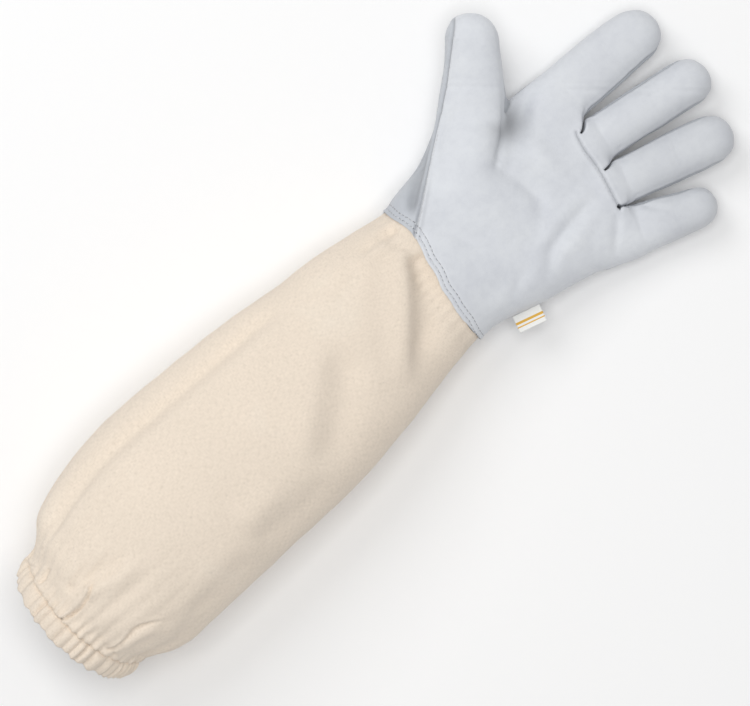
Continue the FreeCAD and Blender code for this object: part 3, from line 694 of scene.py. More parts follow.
used = np.unique(skin.t)
on = np.zeros(len(p), bool)
on[used] = True
disp = np.zeros(len(p))
# colour darkening for the leather's 'seam' attribute: dirt along seams and on the handled fingers, and painted shade
# in the thumb web and in the hollow behind the wrap seam
seam_wear_and_painted_shade = np.zeros(len(p))
marks = {k: np.concatenate(v) for k, v in skin.marks.items()}
for k, (depth, width, swell) in {
    "side": (0.55, 1.0, 0.30), "wrap": (0.75, 1.0, 0.45), "gunn": (1.1, 0.6, 0.3),
    **{f"fourchette_{n}": (0.6, 0.95, 0.35) for n in NAMES},
}.items():  # fmt: skip
    if k not in marks or not len(marks[k]):
        continue
    d = dist_to(marks[k], p, 6.0)
    disp += -depth * gauss(d, width) + swell * gauss(d - 2.3, 1.3)
    seam_wear_and_painted_shade = np.maximum(seam_wear_and_painted_shade, gauss(d, 1.0 if k != "gunn" else 0.6))

u_, v_ = hand_uv(p)
t_, n_ = thumb_tn(p)
up = nrm[:, 2] > 0.2
# the wrap seam stands up as a lip and the back leather sinks into a hollow behind it
wf = wrap_field(p)
low = sstep(372, 345, p[:, 0]) * sstep(-0.1, 0.3, nrm[:, 2]) * sstep(7.0, 17.0, edge_field(p))
disp += (0.9 * gauss(wf - 1.6, 1.3) + 0.5 * gauss(wf + 1.4, 0.9)) * sstep(-0.1, 0.3, nrm[:, 2]) * (t_ < 30)
disp -= low * 3.4 * gauss(wf + 5.6, 3.2)
# painted shade: the colour in the hollow behind the wrap seam is darkened as well
seam_wear_and_painted_shade = np.maximum(seam_wear_and_painted_shade, 0.95 * low * gauss(wf + 5.2, 4.4))
e_ = edge_field(p)
# the leather's edge: turned under, thick, with a soft roll, pressed down by two rows of stitches
ROWS = (2.6, 5.6)
disp += 0.45 * gauss(e_ - 0.9, 1.1) - 0.9 * np.clip(1 - e_ / 0.7, 0, 1) ** 2 * 0.6
for row in ROWS:
    disp -= 0.35 * gauss(e_ - row, 0.75)
# broad, soft form of worn leather
disp += 0.55 * noise3(p, 34, 1) + 0.28 * noise3(p, 15, 2) + 0.10 * noise3(p, 7, 3)
# palm: hollow between the thumb's mound and the heel
palm_on = np.clip(nrm[:, 2], 0, 1)
disp -= palm_on * 2.6 * gauss(np.hypot((u_ - 78) / 34, (v_ + 6) / 20), 1.0)
disp += palm_on * 1.3 * gauss(np.hypot((u_ - 60) / 26, (v_ + 36) / 13), 1.0)


def flowing(points, n=5):
    """More points along a smooth curve through the given ones."""
    q = np.array(points, float)
    q = np.concatenate([2 * q[:1] - q[1:2], q, 2 * q[-1:] - q[-2:-1]])
    out = []
    for a, b, c, d in zip(q[:-3], q[1:-2], q[2:-1], q[3:]):
        for t in np.arange(n) / n:
            out.append(0.5 * (2 * b + (c - a) * t + (2 * a - 5 * b + 4 * c - d) * t**2 + (3 * b - a - 3 * c + d) * t**3))
    return np.array(out + [q[-2]])


def crease(points, depth, width, roll=0.0):
    """A soft crease along a plan curve on the palm side."""
    q = p[:, :2]
    best = np.full(len(q), 1e9)
    along = np.zeros(len(q))
    pts = flowing(points)
    run, total = 0.0, np.linalg.norm(np.diff(pts, axis=0), axis=1).sum()
    for a, b in zip(pts[:-1], pts[1:]):
        d = b - a
        t = np.clip(((q - a) @ d) / (d @ d), 0, 1)
        l = np.linalg.norm(q - (a + t[:, None] * d), axis=1)
        c = l < best
        best = np.where(c, l, best)
        along = np.where(c, (run + t * np.linalg.norm(d)) / total, along)
        run += np.linalg.norm(d)
    fade = np.sin(np.pi * np.clip(along, 0.04, 0.96)) ** 0.6
    w = palm_on * fade
    return -w * depth * gauss(best, width) + w * roll * gauss(best - 2.0 * width, width)


def px(*points):
    """Points given on the design's 0.6 mm drawing grid, turned into the design frame."""
    out = []
    c, s = math.cos(math.radians(44.35)), math.sin(math.radians(44.35))
    for a, b in points:
        dx, dy = a - 75, 625 - b
        out.append((0.6 * (dx * c + dy * s), 0.6 * (-dx * s + dy * c)))
    return out


def seen(z, *points):
    """Grid points as they look from 2.5 m above the drawing plane at z 40 when they lie at height z."""
    m = 2500.0 / (2500.0 - (z - 40.0))
    return px(*[(375 + (a - 375) / m, 353 + (b - 353) / m) for a, b in points])


disp += crease(seen(42, (507, 84), (508, 108), (508, 122), (507, 136), (503, 150), (498, 164)), 3.2, 2.3, 0.3)
disp += crease(seen(42, (524, 74), (522, 96), (519, 116), (514, 134), (508, 150), (503, 166)), 8.2, 7.8, 0.0)
# painted shade: the leather's colour is darkened in the web between thumb and index finger, where the thumb shades it
wx, wy = seen(40, (510, 119))[0]
web = gauss(np.hypot(p[:, 0] - wx, p[:, 1] - wy) / 11.5, 1.0) * sstep(-0.3, 0.2, nrm[:, 2])
seam_wear_and_painted_shade = np.maximum(seam_wear_and_painted_shade, 1.6 * web * sstep(0.5, 3.5, thumb_sdf(p)))
# soft hollows and swellings of the worn palm
disp += crease(seen(42, (501, 166), (512, 174), (524, 182), (537, 193), (543, 205), (539, 222)), 2.3, 5.0, 0.0)
disp -= crease(seen(42, (524, 134), (536, 146), (550, 160), (568, 178)), 1.3, 6.0, 0.0)
disp += crease(seen(42, (596, 196), (584, 211), (571, 226), (559, 240), (551, 254), (547, 272)), 1.9, 3.8, 0.7)
disp -= crease(seen(42, (592, 228), (582, 241), (572, 256)), 0.9, 7.5, 0.0)
disp += crease(seen(42, (538, 172), (556, 179), (578, 188)), 0.5, 1.8, 0.1)
disp += crease(seen(42, (621, 206), (619, 222), (618, 238), (616, 256)), 0.9, 2.8, 0.0)
disp -= crease(seen(42, (607, 210), (606, 228), (603, 250)), 0.5, 5.0, 0.0)
disp += crease(seen(42, (512, 300), (520, 280), (533, 262)), 0.8, 4.0, 0.0)
disp += crease(seen(42, (444, 232), (462, 240), (478, 246)), 0.5, 3.0, 0.1)
disp += crease(seen(42, (640, 200), (655, 206), (675, 209)), 0.7, 2.0, 0.25)
disp += crease(seen(42, (475, 300), (500, 285), (522, 262)), 0.5, 5.0, 0.1)
disp += crease(seen(42, (580, 178), (600, 190), (622, 196)), 0.35, 3.0, 0.1)
# the fingers are handled most: a little greyer than the palm, the index finger least
seam_wear_and_painted_shade = np.maximum(seam_wear_and_painted_shade, lerp(0.40, 0.17, sstep(-6.0, 14.0, v_)) * sstep(104.0, 150.0, u_) * sstep(1.0, 8.0, thumb_sdf(p)))
# flex wrinkles at the finger joints, palm side
for name, f in FING.items():
    s, n = finger_sn(f, p)
    inside = (np.abs(n) < 20) & (s > -12)
    for sc, dep in ((0.0, 0.35), (f["l1"], 0.5), (f["l1"] + 3.4, 0.25), (f["l1"] - 3.6, 0.25)):
        disp -= inside * palm_on * dep * gauss(s - sc - 0.02 * n**2 * 0.6, 1.5)
disp -= (t_ > -12) * palm_on * (0.5 * gauss(t_ - 0.5, 1.8) + 0.25 * gauss(t_ - 4.5, 1.5))
p = p + nrm * disp[:, None] * on[:, None]
p[:, 2] = np.maximum(p[:, 2], 0.25 + 0.0 * p[:, 2])
nrm = normals_of(p, skin.t)

# ------------------------------------------------------------------ making pieces
LEATHER_T = 1.05


def new_object(name, p_mm, faces, rest_mm=None, normals=None, attrs=None, material=None, uv=None):
    me = bpy.data.meshes.new(name)
    faces = np.asarray(faces)
    k = faces.shape[1]
    co = to_m(p_mm)
    me.vertices.add(len(co))
    me.vertices.foreach_set("co", co.astype(np.float32).ravel())
    me.loops.add(faces.size)
    me.loops.foreach_set("vertex_index", faces.astype(np.int32).ravel())
    me.polygons.add(len(faces))
    me.polygons.foreach_set("loop_start", np.arange(0, faces.size, k, dtype=np.int32))
    me.polygons.foreach_set("use_smooth", np.ones(len(faces), bool))
    me.update()
    me.validate()
    a = me.attributes.new("rest", "FLOAT_VECTOR", "POINT")
    a.data.foreach_set("vector", (np.asarray(p_mm if rest_mm is None else rest_mm) * 0.001).astype(np.float32).ravel())
    for key, val in (attrs or {}).items():
        a = me.attributes.new(key, "FLOAT", "POINT")
        a.data.foreach_set("value", np.asarray(val, np.float32))
    if uv is not None:
        layer = me.uv_layers.new(name="UVMap")
        layer.data.foreach_set("uv", np.asarray(uv, np.float32)[faces.ravel()].ravel())
    if normals is not None:
        me.normals_split_custom_set_from_vertices([tuple(v) for v in normals])
    o = bpy.data.objects.new(name, me)
    bpy.context.scene.collection.objects.link(o)
    if material:
        me.materials.append(material)
    return o


def shell(name, tri_sel, thick, material, extra=None):
    """A closed panel: the chosen triangles outside, the same moved inwards, and a rim."""
    T = skin.t[tri_sel]
    ids = np.unique(T)
    back = -np.ones(len(p), int)
    back[ids] = np.arange(len(ids))
    t = back[T]
    n = len(ids)
    P, N = p[ids], nrm[ids]
    inner = P - N * thick
    e = np.concatenate([t[:, [0, 1]], t[:, [1, 2]], t[:, [2, 0]]])
    es = np.sort(e, 1)
    _, first, count = np.unique(es, axis=0, return_index=True, return_counts=True)
    rim = e[first[count == 1]]
    faces = np.concatenate(
        [
            t,
            t[:, ::-1] + n,
            np.stack([rim[:, 1], rim[:, 0], rim[:, 0] + n], 1),
            np.stack([rim[:, 1], rim[:, 0] + n, rim[:, 1] + n], 1),
        ]
    )
    dark = seam_wear_and_painted_shade[ids]
    attrs = {"seam": np.concatenate([dark, dark * 0.5])}
    return new_object(
        name, np.concatenate([P, inner]), faces,
        rest_mm=np.concatenate([rest[ids], rest[ids] - N * thick]),
        normals=np.concatenate([N, -N]), attrs=attrs, material=material,
    )  # fmt: skip


# ------------------------------------------------------------------ materials
def material(name):
    m = bpy.data.materials.new(name)
    m.use_nodes = True
    nt = m.node_tree
    nt.nodes.clear()
    out = nt.nodes.new("ShaderNodeOutputMaterial")
    b = nt.nodes.new("ShaderNodeBsdfPrincipled")
    nt.links.new(b.outputs[0], out.inputs[0])
    return m, nt, b


def node(nt, kind, **values):
    n = nt.nodes.new(kind)
    for k, v in values.items():
        if k.startswith("i_"):
            n.inputs[k[2:].replace("_", " ")].default_value = v
        else:
            setattr(n, k, v)
    return n


def rest_coord(nt, scale=1000.0):
    """The rest position in millimetres as texture coordinates."""
    a = node(nt, "ShaderNodeAttribute", attribute_name="rest")
    s = node(nt, "ShaderNodeVectorMath", operation="SCALE")
    s.inputs["Scale"].default_value = scale
    nt.links.new(a.outputs["Vector"], s.inputs[0])
    return s.outputs[0]


def noise_tex(nt, vec, scale, detail=3.0, rough=0.5, distortion=0.0):
    n = node(nt, "ShaderNodeTexNoise")
    n.inputs["Scale"].default_value = scale
    n.inputs["Detail"].default_value = detail
    n.inputs["Roughness"].default_value = rough
    n.inputs["Distortion"].default_value = distortion
    nt.links.new(vec, n.inputs["Vector"])
    return n.outputs["Fac"]


def ramp(nt, fac, stops):
    r = node(nt, "ShaderNodeValToRGB")
    el = r.color_ramp.elements
    while len(el) > 1:
        el.remove(el[-1])
    el[0].position, el[0].color = stops[0][0], (*stops[0][1], 1)
    for pos, col in stops[1:]:
        e = el.new(pos)
        e.color = (*col, 1)
    nt.links.new(fac, r.inputs[0])
    return r.outputs["Color"]


def mix(nt, fac, a, b, blend="MIX"):
    m = node(nt, "ShaderNodeMix", data_type="RGBA", blend_type=blend)
    for sock, val in ((m.inputs["Factor"], fac), (m.inputs[6], a), (m.inputs[7], b)):
        if hasattr(val, "node"):
            nt.links.new(val, sock)
        elif isinstance(val, (tuple, list)):
            sock.default_value = (*val, 1)
        else:
            sock.default_value = val
    return m.outputs[2]


def math_node(nt, op, a, b=None, clamp=False):
    m = node(nt, "ShaderNodeMath", operation=op, use_clamp=clamp)
    for i, val in enumerate((a, b)):
        if val is None:
            continue
        if hasattr(val, "node"):
            nt.links.new(val, m.inputs[i])
        else:
            m.inputs[i].default_value = val
    return m.outputs[0]


def lin(r, g, b):
    """sRGB 0-255 to linear."""
    return tuple(((c / 255 + 0.055) / 1.055) ** 2.4 if c > 10 else c / 255 / 12.92 for c in (r, g, b))


def leather_material(name, base, deep, light):
    m, nt, b = material(name)
    v = rest_coord(nt)
    cloud = noise_tex(nt, v, 0.035, 4, 0.55)
    fine = noise_tex(nt, v, 0.22, 4, 0.6)
    tint = ramp(nt, cloud, [(0.30, deep), (0.52, base), (0.72, light)])
    spots = ramp(nt, fine, [(0.35, (0.965, 0.966, 0.97)), (0.55, (1, 1, 1)), (0.8, (1.015, 1.015, 1.015))])
    col = mix(nt, 1.0, tint, spots, "MULTIPLY")
    # the 'seam' attribute darkens the colour: dirt along seams and on the handled fingers, and painted shade in the
    # thumb web and in the hollow behind the wrap seam
    seam = node(nt, "ShaderNodeAttribute", attribute_name="seam")
    seam_dirt_and_shade = math_node(nt, "MULTIPLY", seam.outputs["Fac"], 0.55)
    col = mix(nt, seam_dirt_and_shade, col, tuple(c * 0.45 for c in base))
    nt.links.new(col, b.inputs["Base Color"])
    rough = math_node(nt, "MULTIPLY_ADD", fine, 0.16)
    rough.node.inputs[2].default_value = 0.50
    nt.links.new(rough, b.inputs["Roughness"])
    b.inputs["Sheen Weight"].default_value = 0.12
    b.inputs["Sheen Roughness"].default_value = 0.5
    b.inputs["Specular IOR Level"].default_value = 0.35
    # grain: small cells with fine wrinkles
    cells = node(nt, "ShaderNodeTexVoronoi", feature="DISTANCE_TO_EDGE")
    cells.inputs["Scale"].default_value = 0.95
    warp = noise_tex(nt, v, 0.5, 3, 0.6)
    shifted = node(nt, "ShaderNodeVectorMath", operation="ADD")
    nt.links.new(v, shifted.inputs[0])
    nt.links.new(warp, shifted.inputs[1])
    nt.links.new(shifted.outputs[0], cells.inputs["Vector"])
    pit = ramp(nt, cells.outputs["Distance"], [(0.0, (0, 0, 0)), (0.12, (0.8, 0.8, 0.8)), (0.4, (1, 1, 1))])
    wrinkle = noise_tex(nt, v, 0.55, 5, 0.62, 0.6)
    hgt = math_node(nt, "ADD", math_node(nt, "MULTIPLY", pit, 0.25), wrinkle)
    bump = node(nt, "ShaderNodeBump")
    bump.inputs["Strength"].default_value = 0.35
    bump.inputs["Distance"].default_value = 0.00035
    nt.links.new(hgt, bump.inputs["Height"])
    nt.links.new(bump.outputs[0], b.inputs["Normal"])
    return m


M_PALM = leather_material("goatskin_palm", lin(219, 222, 227), lin(213, 216, 222), lin(224, 227, 231))
# back leather: darker than the palm, partly its own tone and partly painted shade for the flap that lies in the hollow
# beside the thumb seam
M_BACK = leather_material("goatskin_back", lin(197, 201, 207), lin(190, 194, 201), lin(203, 207, 212))
M_FOUR = leather_material("goatskin_fourchette", lin(204, 208, 214), lin(198, 202, 208), lin(209, 213, 219))


def canvas_material(name, base, light, pitch=0.62):
    """Plain weave: warp and weft ridges from the piece's own flat coordinates in millimetres."""
    m, nt, b = material(name)
    v = rest_coord(nt)
    uvn = node(nt, "ShaderNodeUVMap", uv_map="UVMap")
    sep = node(nt, "ShaderNodeSeparateXYZ")
    nt.links.new(uvn.outputs[0], sep.inputs[0])
    cloud = noise_tex(nt, v, 0.02, 3, 0.5)
    tint = ramp(nt, cloud, [(0.3, tuple(c * 0.975 for c in base)), (0.6, base), (0.8, light)])
    # slubs: short darker or lighter threads
    sc = node(nt, "ShaderNodeMapping")
    sc.inputs["Scale"].default_value = (1.0, 0.16, 1.0)
    nt.links.new(uvn.outputs[0], sc.inputs["Vector"])
    slub = noise_tex(nt, sc.outputs[0], 2100.0, 2, 0.6)
    sc2 = node(nt, "ShaderNodeMapping")
    sc2.inputs["Scale"].default_value = (0.16, 1.0, 1.0)
    nt.links.new(uvn.outputs[0], sc2.inputs["Vector"])
    slub2 = noise_tex(nt, sc2.outputs[0], 2100.0, 2, 0.6)
    both = math_node(nt, "MULTIPLY", math_node(nt, "ADD", slub, slub2), 0.5)
    thread = ramp(nt, both, [(0.36, (0.86, 0.85, 0.83)), (0.47, (0.965, 0.962, 0.956)), (0.58, (1.045, 1.045, 1.045))])
    col = mix(nt, 1.0, tint, thread, "MULTIPLY")
    fleck_n = noise_tex(nt, uvn.outputs[0], 700.0, 2, 0.5)
    fleck = ramp(nt, fleck_n, [(0.685, (0, 0, 0)), (0.735, (1, 1, 1))])
    col = mix(nt, math_node(nt, "MULTIPLY", fleck, 0.55), col, tuple(c * 0.62 for c in base))
    # the 'seam' attribute darkens the colour: the side seam and gathering lines, and painted shade in the valleys of
    # the hem's pleats
    seam = node(nt, "ShaderNodeAttribute", attribute_name="seam")
    col = mix(nt, math_node(nt, "MULTIPLY", seam.outputs["Fac"], 0.32), col, tuple(c * 0.68 for c in base))
    nt.links.new(col, b.inputs["Base Color"])
    b.inputs["Roughness"].default_value = 0.92
    b.inputs["Sheen Weight"].default_value = 0.18
    b.inputs["Sheen Roughness"].default_value = 0.6
    b.inputs["Specular IOR Level"].default_value = 0.15
    k = 2 * math.pi / (pitch * 0.001)
    sx = math_node(nt, "SINE", math_node(nt, "MULTIPLY", sep.outputs[0], k))
    sy = math_node(nt, "SINE", math_node(nt, "MULTIPLY", sep.outputs[1], k))
    weave = math_node(nt, "MULTIPLY", sx, sy)
    h1 = math_node(nt, "ADD", math_node(nt, "MULTIPLY", weave, 0.5), math_node(nt, "MULTIPLY", both, 1.6))
    bump = node(nt, "ShaderNodeBump")
    bump.inputs["Strength"].default_value = 0.5
    bump.inputs["Distance"].default_value = 0.00022
    nt.links.new(h1, bump.inputs["Height"])
    nt.links.new(bump.outputs[0], b.inputs["Normal"])
    return m


M_CANVAS = canvas_material("cotton_canvas", lin(243, 229, 212), lin(246, 234, 218))
M_INSIDE = canvas_material("cotton_canvas_inside", lin(236, 222, 204), lin(240, 227, 210))


def thread_material(name, col, dark):
    m, nt, b = material(name)
    v = rest_coord(nt)
    n = noise_tex(nt, v, 1.4, 3, 0.6)
    nt.links.new(ramp(nt, n, [(0.3, dark), (0.6, col)]), b.inputs["Base Color"])
    b.inputs["Roughness"].default_value = 0.7
    b.inputs["Sheen Weight"].default_value = 0.2
    bump = node(nt, "ShaderNodeBump")
    bump.inputs["Strength"].default_value = 0.4
    bump.inputs["Distance"].default_value = 0.0001
    nt.links.new(noise_tex(nt, v, 6.0, 2), bump.inputs["Height"])
    nt.links.new(bump.outputs[0], b.inputs["Normal"])
    return m


M_THREAD = thread_material("sewing_thread", lin(216, 217, 219), lin(196, 197, 200))
# needle holes: the dark colour is painted shade in the holes
M_HOLE = thread_material("needle_hole", lin(104, 107, 112), lin(86, 89, 94))
M_THREAD_C = thread_material("sewing_thread_canvas", lin(240, 230, 214), lin(214, 202, 185))

# ------------------------------------------------------------------ leather pieces
made_pieces = []


def finish_piece(o, replaces, body=None, blend=None):
    if replaces:
        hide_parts(*replaces)
    if body:
        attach(o, body)
    if blend:
        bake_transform(o)
    made_pieces.append(o)
    return o


def pt(xy, z):
    q = to_m([xy[0], xy[1], z])
    return tuple(q)


R, S_ = skin.r, side
finish_piece(shell("palm_leather", (R == 0) & (S_ == 0), LEATHER_T, M_PALM), ["palm_panel"], body="hand")
finish_piece(shell("back_leather", (R == 0) & (S_ == 1), LEATHER_T, M_BACK), ["back_panel"], body="hand")
finish_piece(shell("middle_ring_insert_leather", (R == 1) & (S_ == 0), LEATHER_T, M_PALM), ["middle_ring_insert"], body="hand")  # fmt: skip
for reg, nm, cads in ((5, "thumb", ("thumb_front", "thumb_back")), (6, "thumb_tip", ("thumb_tip_front", "thumb_tip_back"))):
    for sd, (sn, mt, sl) in enumerate((("front", M_PALM, "goatskin_palm"), ("back", M_BACK, "goatskin_back"))):
        o = shell(f"{nm}_{sn}_leather", (R == reg) & (S_ == sd), LEATHER_T, mt)
        bl = ("hand", "thumb_tip", pt(TH_O + T_D * -9, 31), pt(TH_O + T_D * 9, 31)) if reg == 6 else None
        finish_piece(o, [cads[sd]], body=None if bl else "hand", blend=bl)
for i, (name, f) in enumerate(FING.items()):
    b0 = ("hand", f"{name}_base", pt(f["o"] + f["d"] * CUT0, 13), pt(f["o"] + f["d"] * 9.5, 13))
    half = 9.0 if name != "little" else 8.0
    b1 = (f"{name}_base", f"{name}_tip", pt(f["o"] + f["d"] * (f["l1"] - half), 13), pt(f["o"] + f["d"] * (f["l1"] + half), 13))
    for reg, nm, bl in ((10 + i, name, b0), (20 + i, f"{name}_tip", b1)):
        for sd, sn, mt, sl in (
            (0, "front", M_PALM, "goatskin_palm"),
            (1, "back", M_BACK, "goatskin_back"),
            (2, "fourchette_thumb_side", M_FOUR, "goatskin_fourchette"),
            (3, "fourchette_little_side", M_FOUR, "goatskin_fourchette"),
        ):
            sel = (R == reg) & (S_ == sd)
            if not sel.any():
                continue
            o = shell(f"{nm}_{sn}_leather", sel, LEATHER_T, mt)
            finish_piece(o, [f"{nm}_{sn}"], blend=bl)
print("leather pieces", len(made_pieces), "skin verts", len(np.unique(skin.t)), "tris", len(skin.t))
left = ~np.isin(R, [0, 1, 5, 6, 10, 11, 12, 13, 20, 21, 22, 23])
print("unassigned", int(left.sum()), "odd sides", int(((R == 1) & (S_ != 0)).sum()), int(((R < 7) & (S_ > 1)).sum()))

# ------------------------------------------------------------------ canvas gauntlet
# stations along the gauntlet: x, half width, half depth, centre y, centre z
ST = np.array([
    (4.0, 43.6, 44.0, 2.4, 46.7), (12.0, 46.9, 46.4, 2.5, 47.6), (18.0, 50.9, 48.0, 2.9, 48.7), (25.0, 55.6, 49.5, 4.1, 49.8), (40.0, 60.3, 51.0, 4.7, 51.2),
    (60.0, 62.9, 52.0, 6.3, 52.1), (85.0, 64.9, 52.0, 7.8, 52.1), (110.0, 65.3, 51.2, 7.9, 51.3), (140.0, 64.4, 49.4, 6.8, 49.5),
    (170.0, 63.0, 47.0, 5.2, 47.1), (200.0, 60.7, 44.0, 4.0, 44.1), (230.0, 57.4, 40.4, 2.8, 40.5), (258.0, 53.4, 36.6, 2.6, 36.8),
    (280.0, 49.6, 32.6, 2.0, 33.4), (299.0, 46.9, 29.4, 0.3, 31.4), (314.0, 46.2, 27.8, 0.4, 29.8),
])  # fmt: skip
S_A, S_B, S_Y, S_Z = (Curve1(ST[:, 0], ST[:, k]) for k in (1, 2, 3, 4))
NT = 288
NX = 230


def canvas_point(x, th, off=0.0):
    """The gauntlet's smooth surface: x along it, th round it from the thumb side over the palm side."""
    a, b, yc, zc = S_A(x), S_B(x), S_Y(x), S_Z(x)
    c, s = np.cos(th), np.sin(th)
    # the cross-section follows the palm's own rounding under the leather
    n = np.where(s < 0, lerp(2.25, 2.9, sstep(230, 299, x)), lerp(2.1, 2.35, sstep(230, 299, x)))
    r = ((np.abs(c) / (a + off)) ** n + (np.abs(s) / (b + off)) ** n) ** (-1 / n)
    turn = HA * sstep(236, 299, x)
    y = r * c
    return np.stack([x - y * np.sin(turn), yc + y * np.cos(turn), zc + r * s], -1)


xs = np.concatenate([np.linspace(2.0, 46.0, int(NX * 0.26), endpoint=False), np.linspace(46.0, 312.0, NX - int(NX * 0.26))])
ths = np.arange(NT) / NT * 2 * math.pi - math.pi / 2 - 0.9  # the grid closes at the little-finger side seam
GX, GT = np.meshgrid(xs, ths, indexing="ij")


def hem_edge_x(th):
    """The folded edge of the hem bows towards -X on the palm side."""
    s = np.sin(th)
    return 0.6 - 11.6 * np.maximum(s, 0) ** 1.1 + 2.0 * np.maximum(-s, 0)


W_H = 13.5  # width of the casing, folded edge to gathering line


def pleats(th):
    """The pleats that the elastic draws up, the same round the casing and the canvas beside it."""
    k = 46 * th - 11 * np.sin(th - 0.5) + 1.9 * np.sin(4 * th + 0.4) + 1.3 * np.sin(9 * th + 1.9)
    depth = 0.9 + 0.25 * np.sin(7 * th + 0.5) * np.sin(3 * th + 1.0) + 0.2 * np.sin(16 * th + 2.0)
    q = depth * (1.9 * np.abs(np.sin(k / 2)) ** 0.75 - 1.2)
    return k, q


base = canvas_point(GX, GT)
# near the hem the rows follow the casing's gathering line, tucked 3 mm under it
base[..., 0] += (hem_edge_x(GT) + W_H - 3.0 - xs[0]) * sstep(62.0, xs[0], GX)
du = np.gradient(base, axis=0)
dt = np.roll(base, -1, 1) - np.roll(base, 1, 1)
gn = np.cross(dt, du)
gn /= np.linalg.norm(gn, axis=-1, keepdims=True)
if (gn[NX // 2, :, :] * (base[NX // 2] - base[NX // 2].mean(0))).sum() < 0:
    gn = -gn
PX = base[..., :2]
upw = sstep(-0.1, 0.45, gn[..., 2])


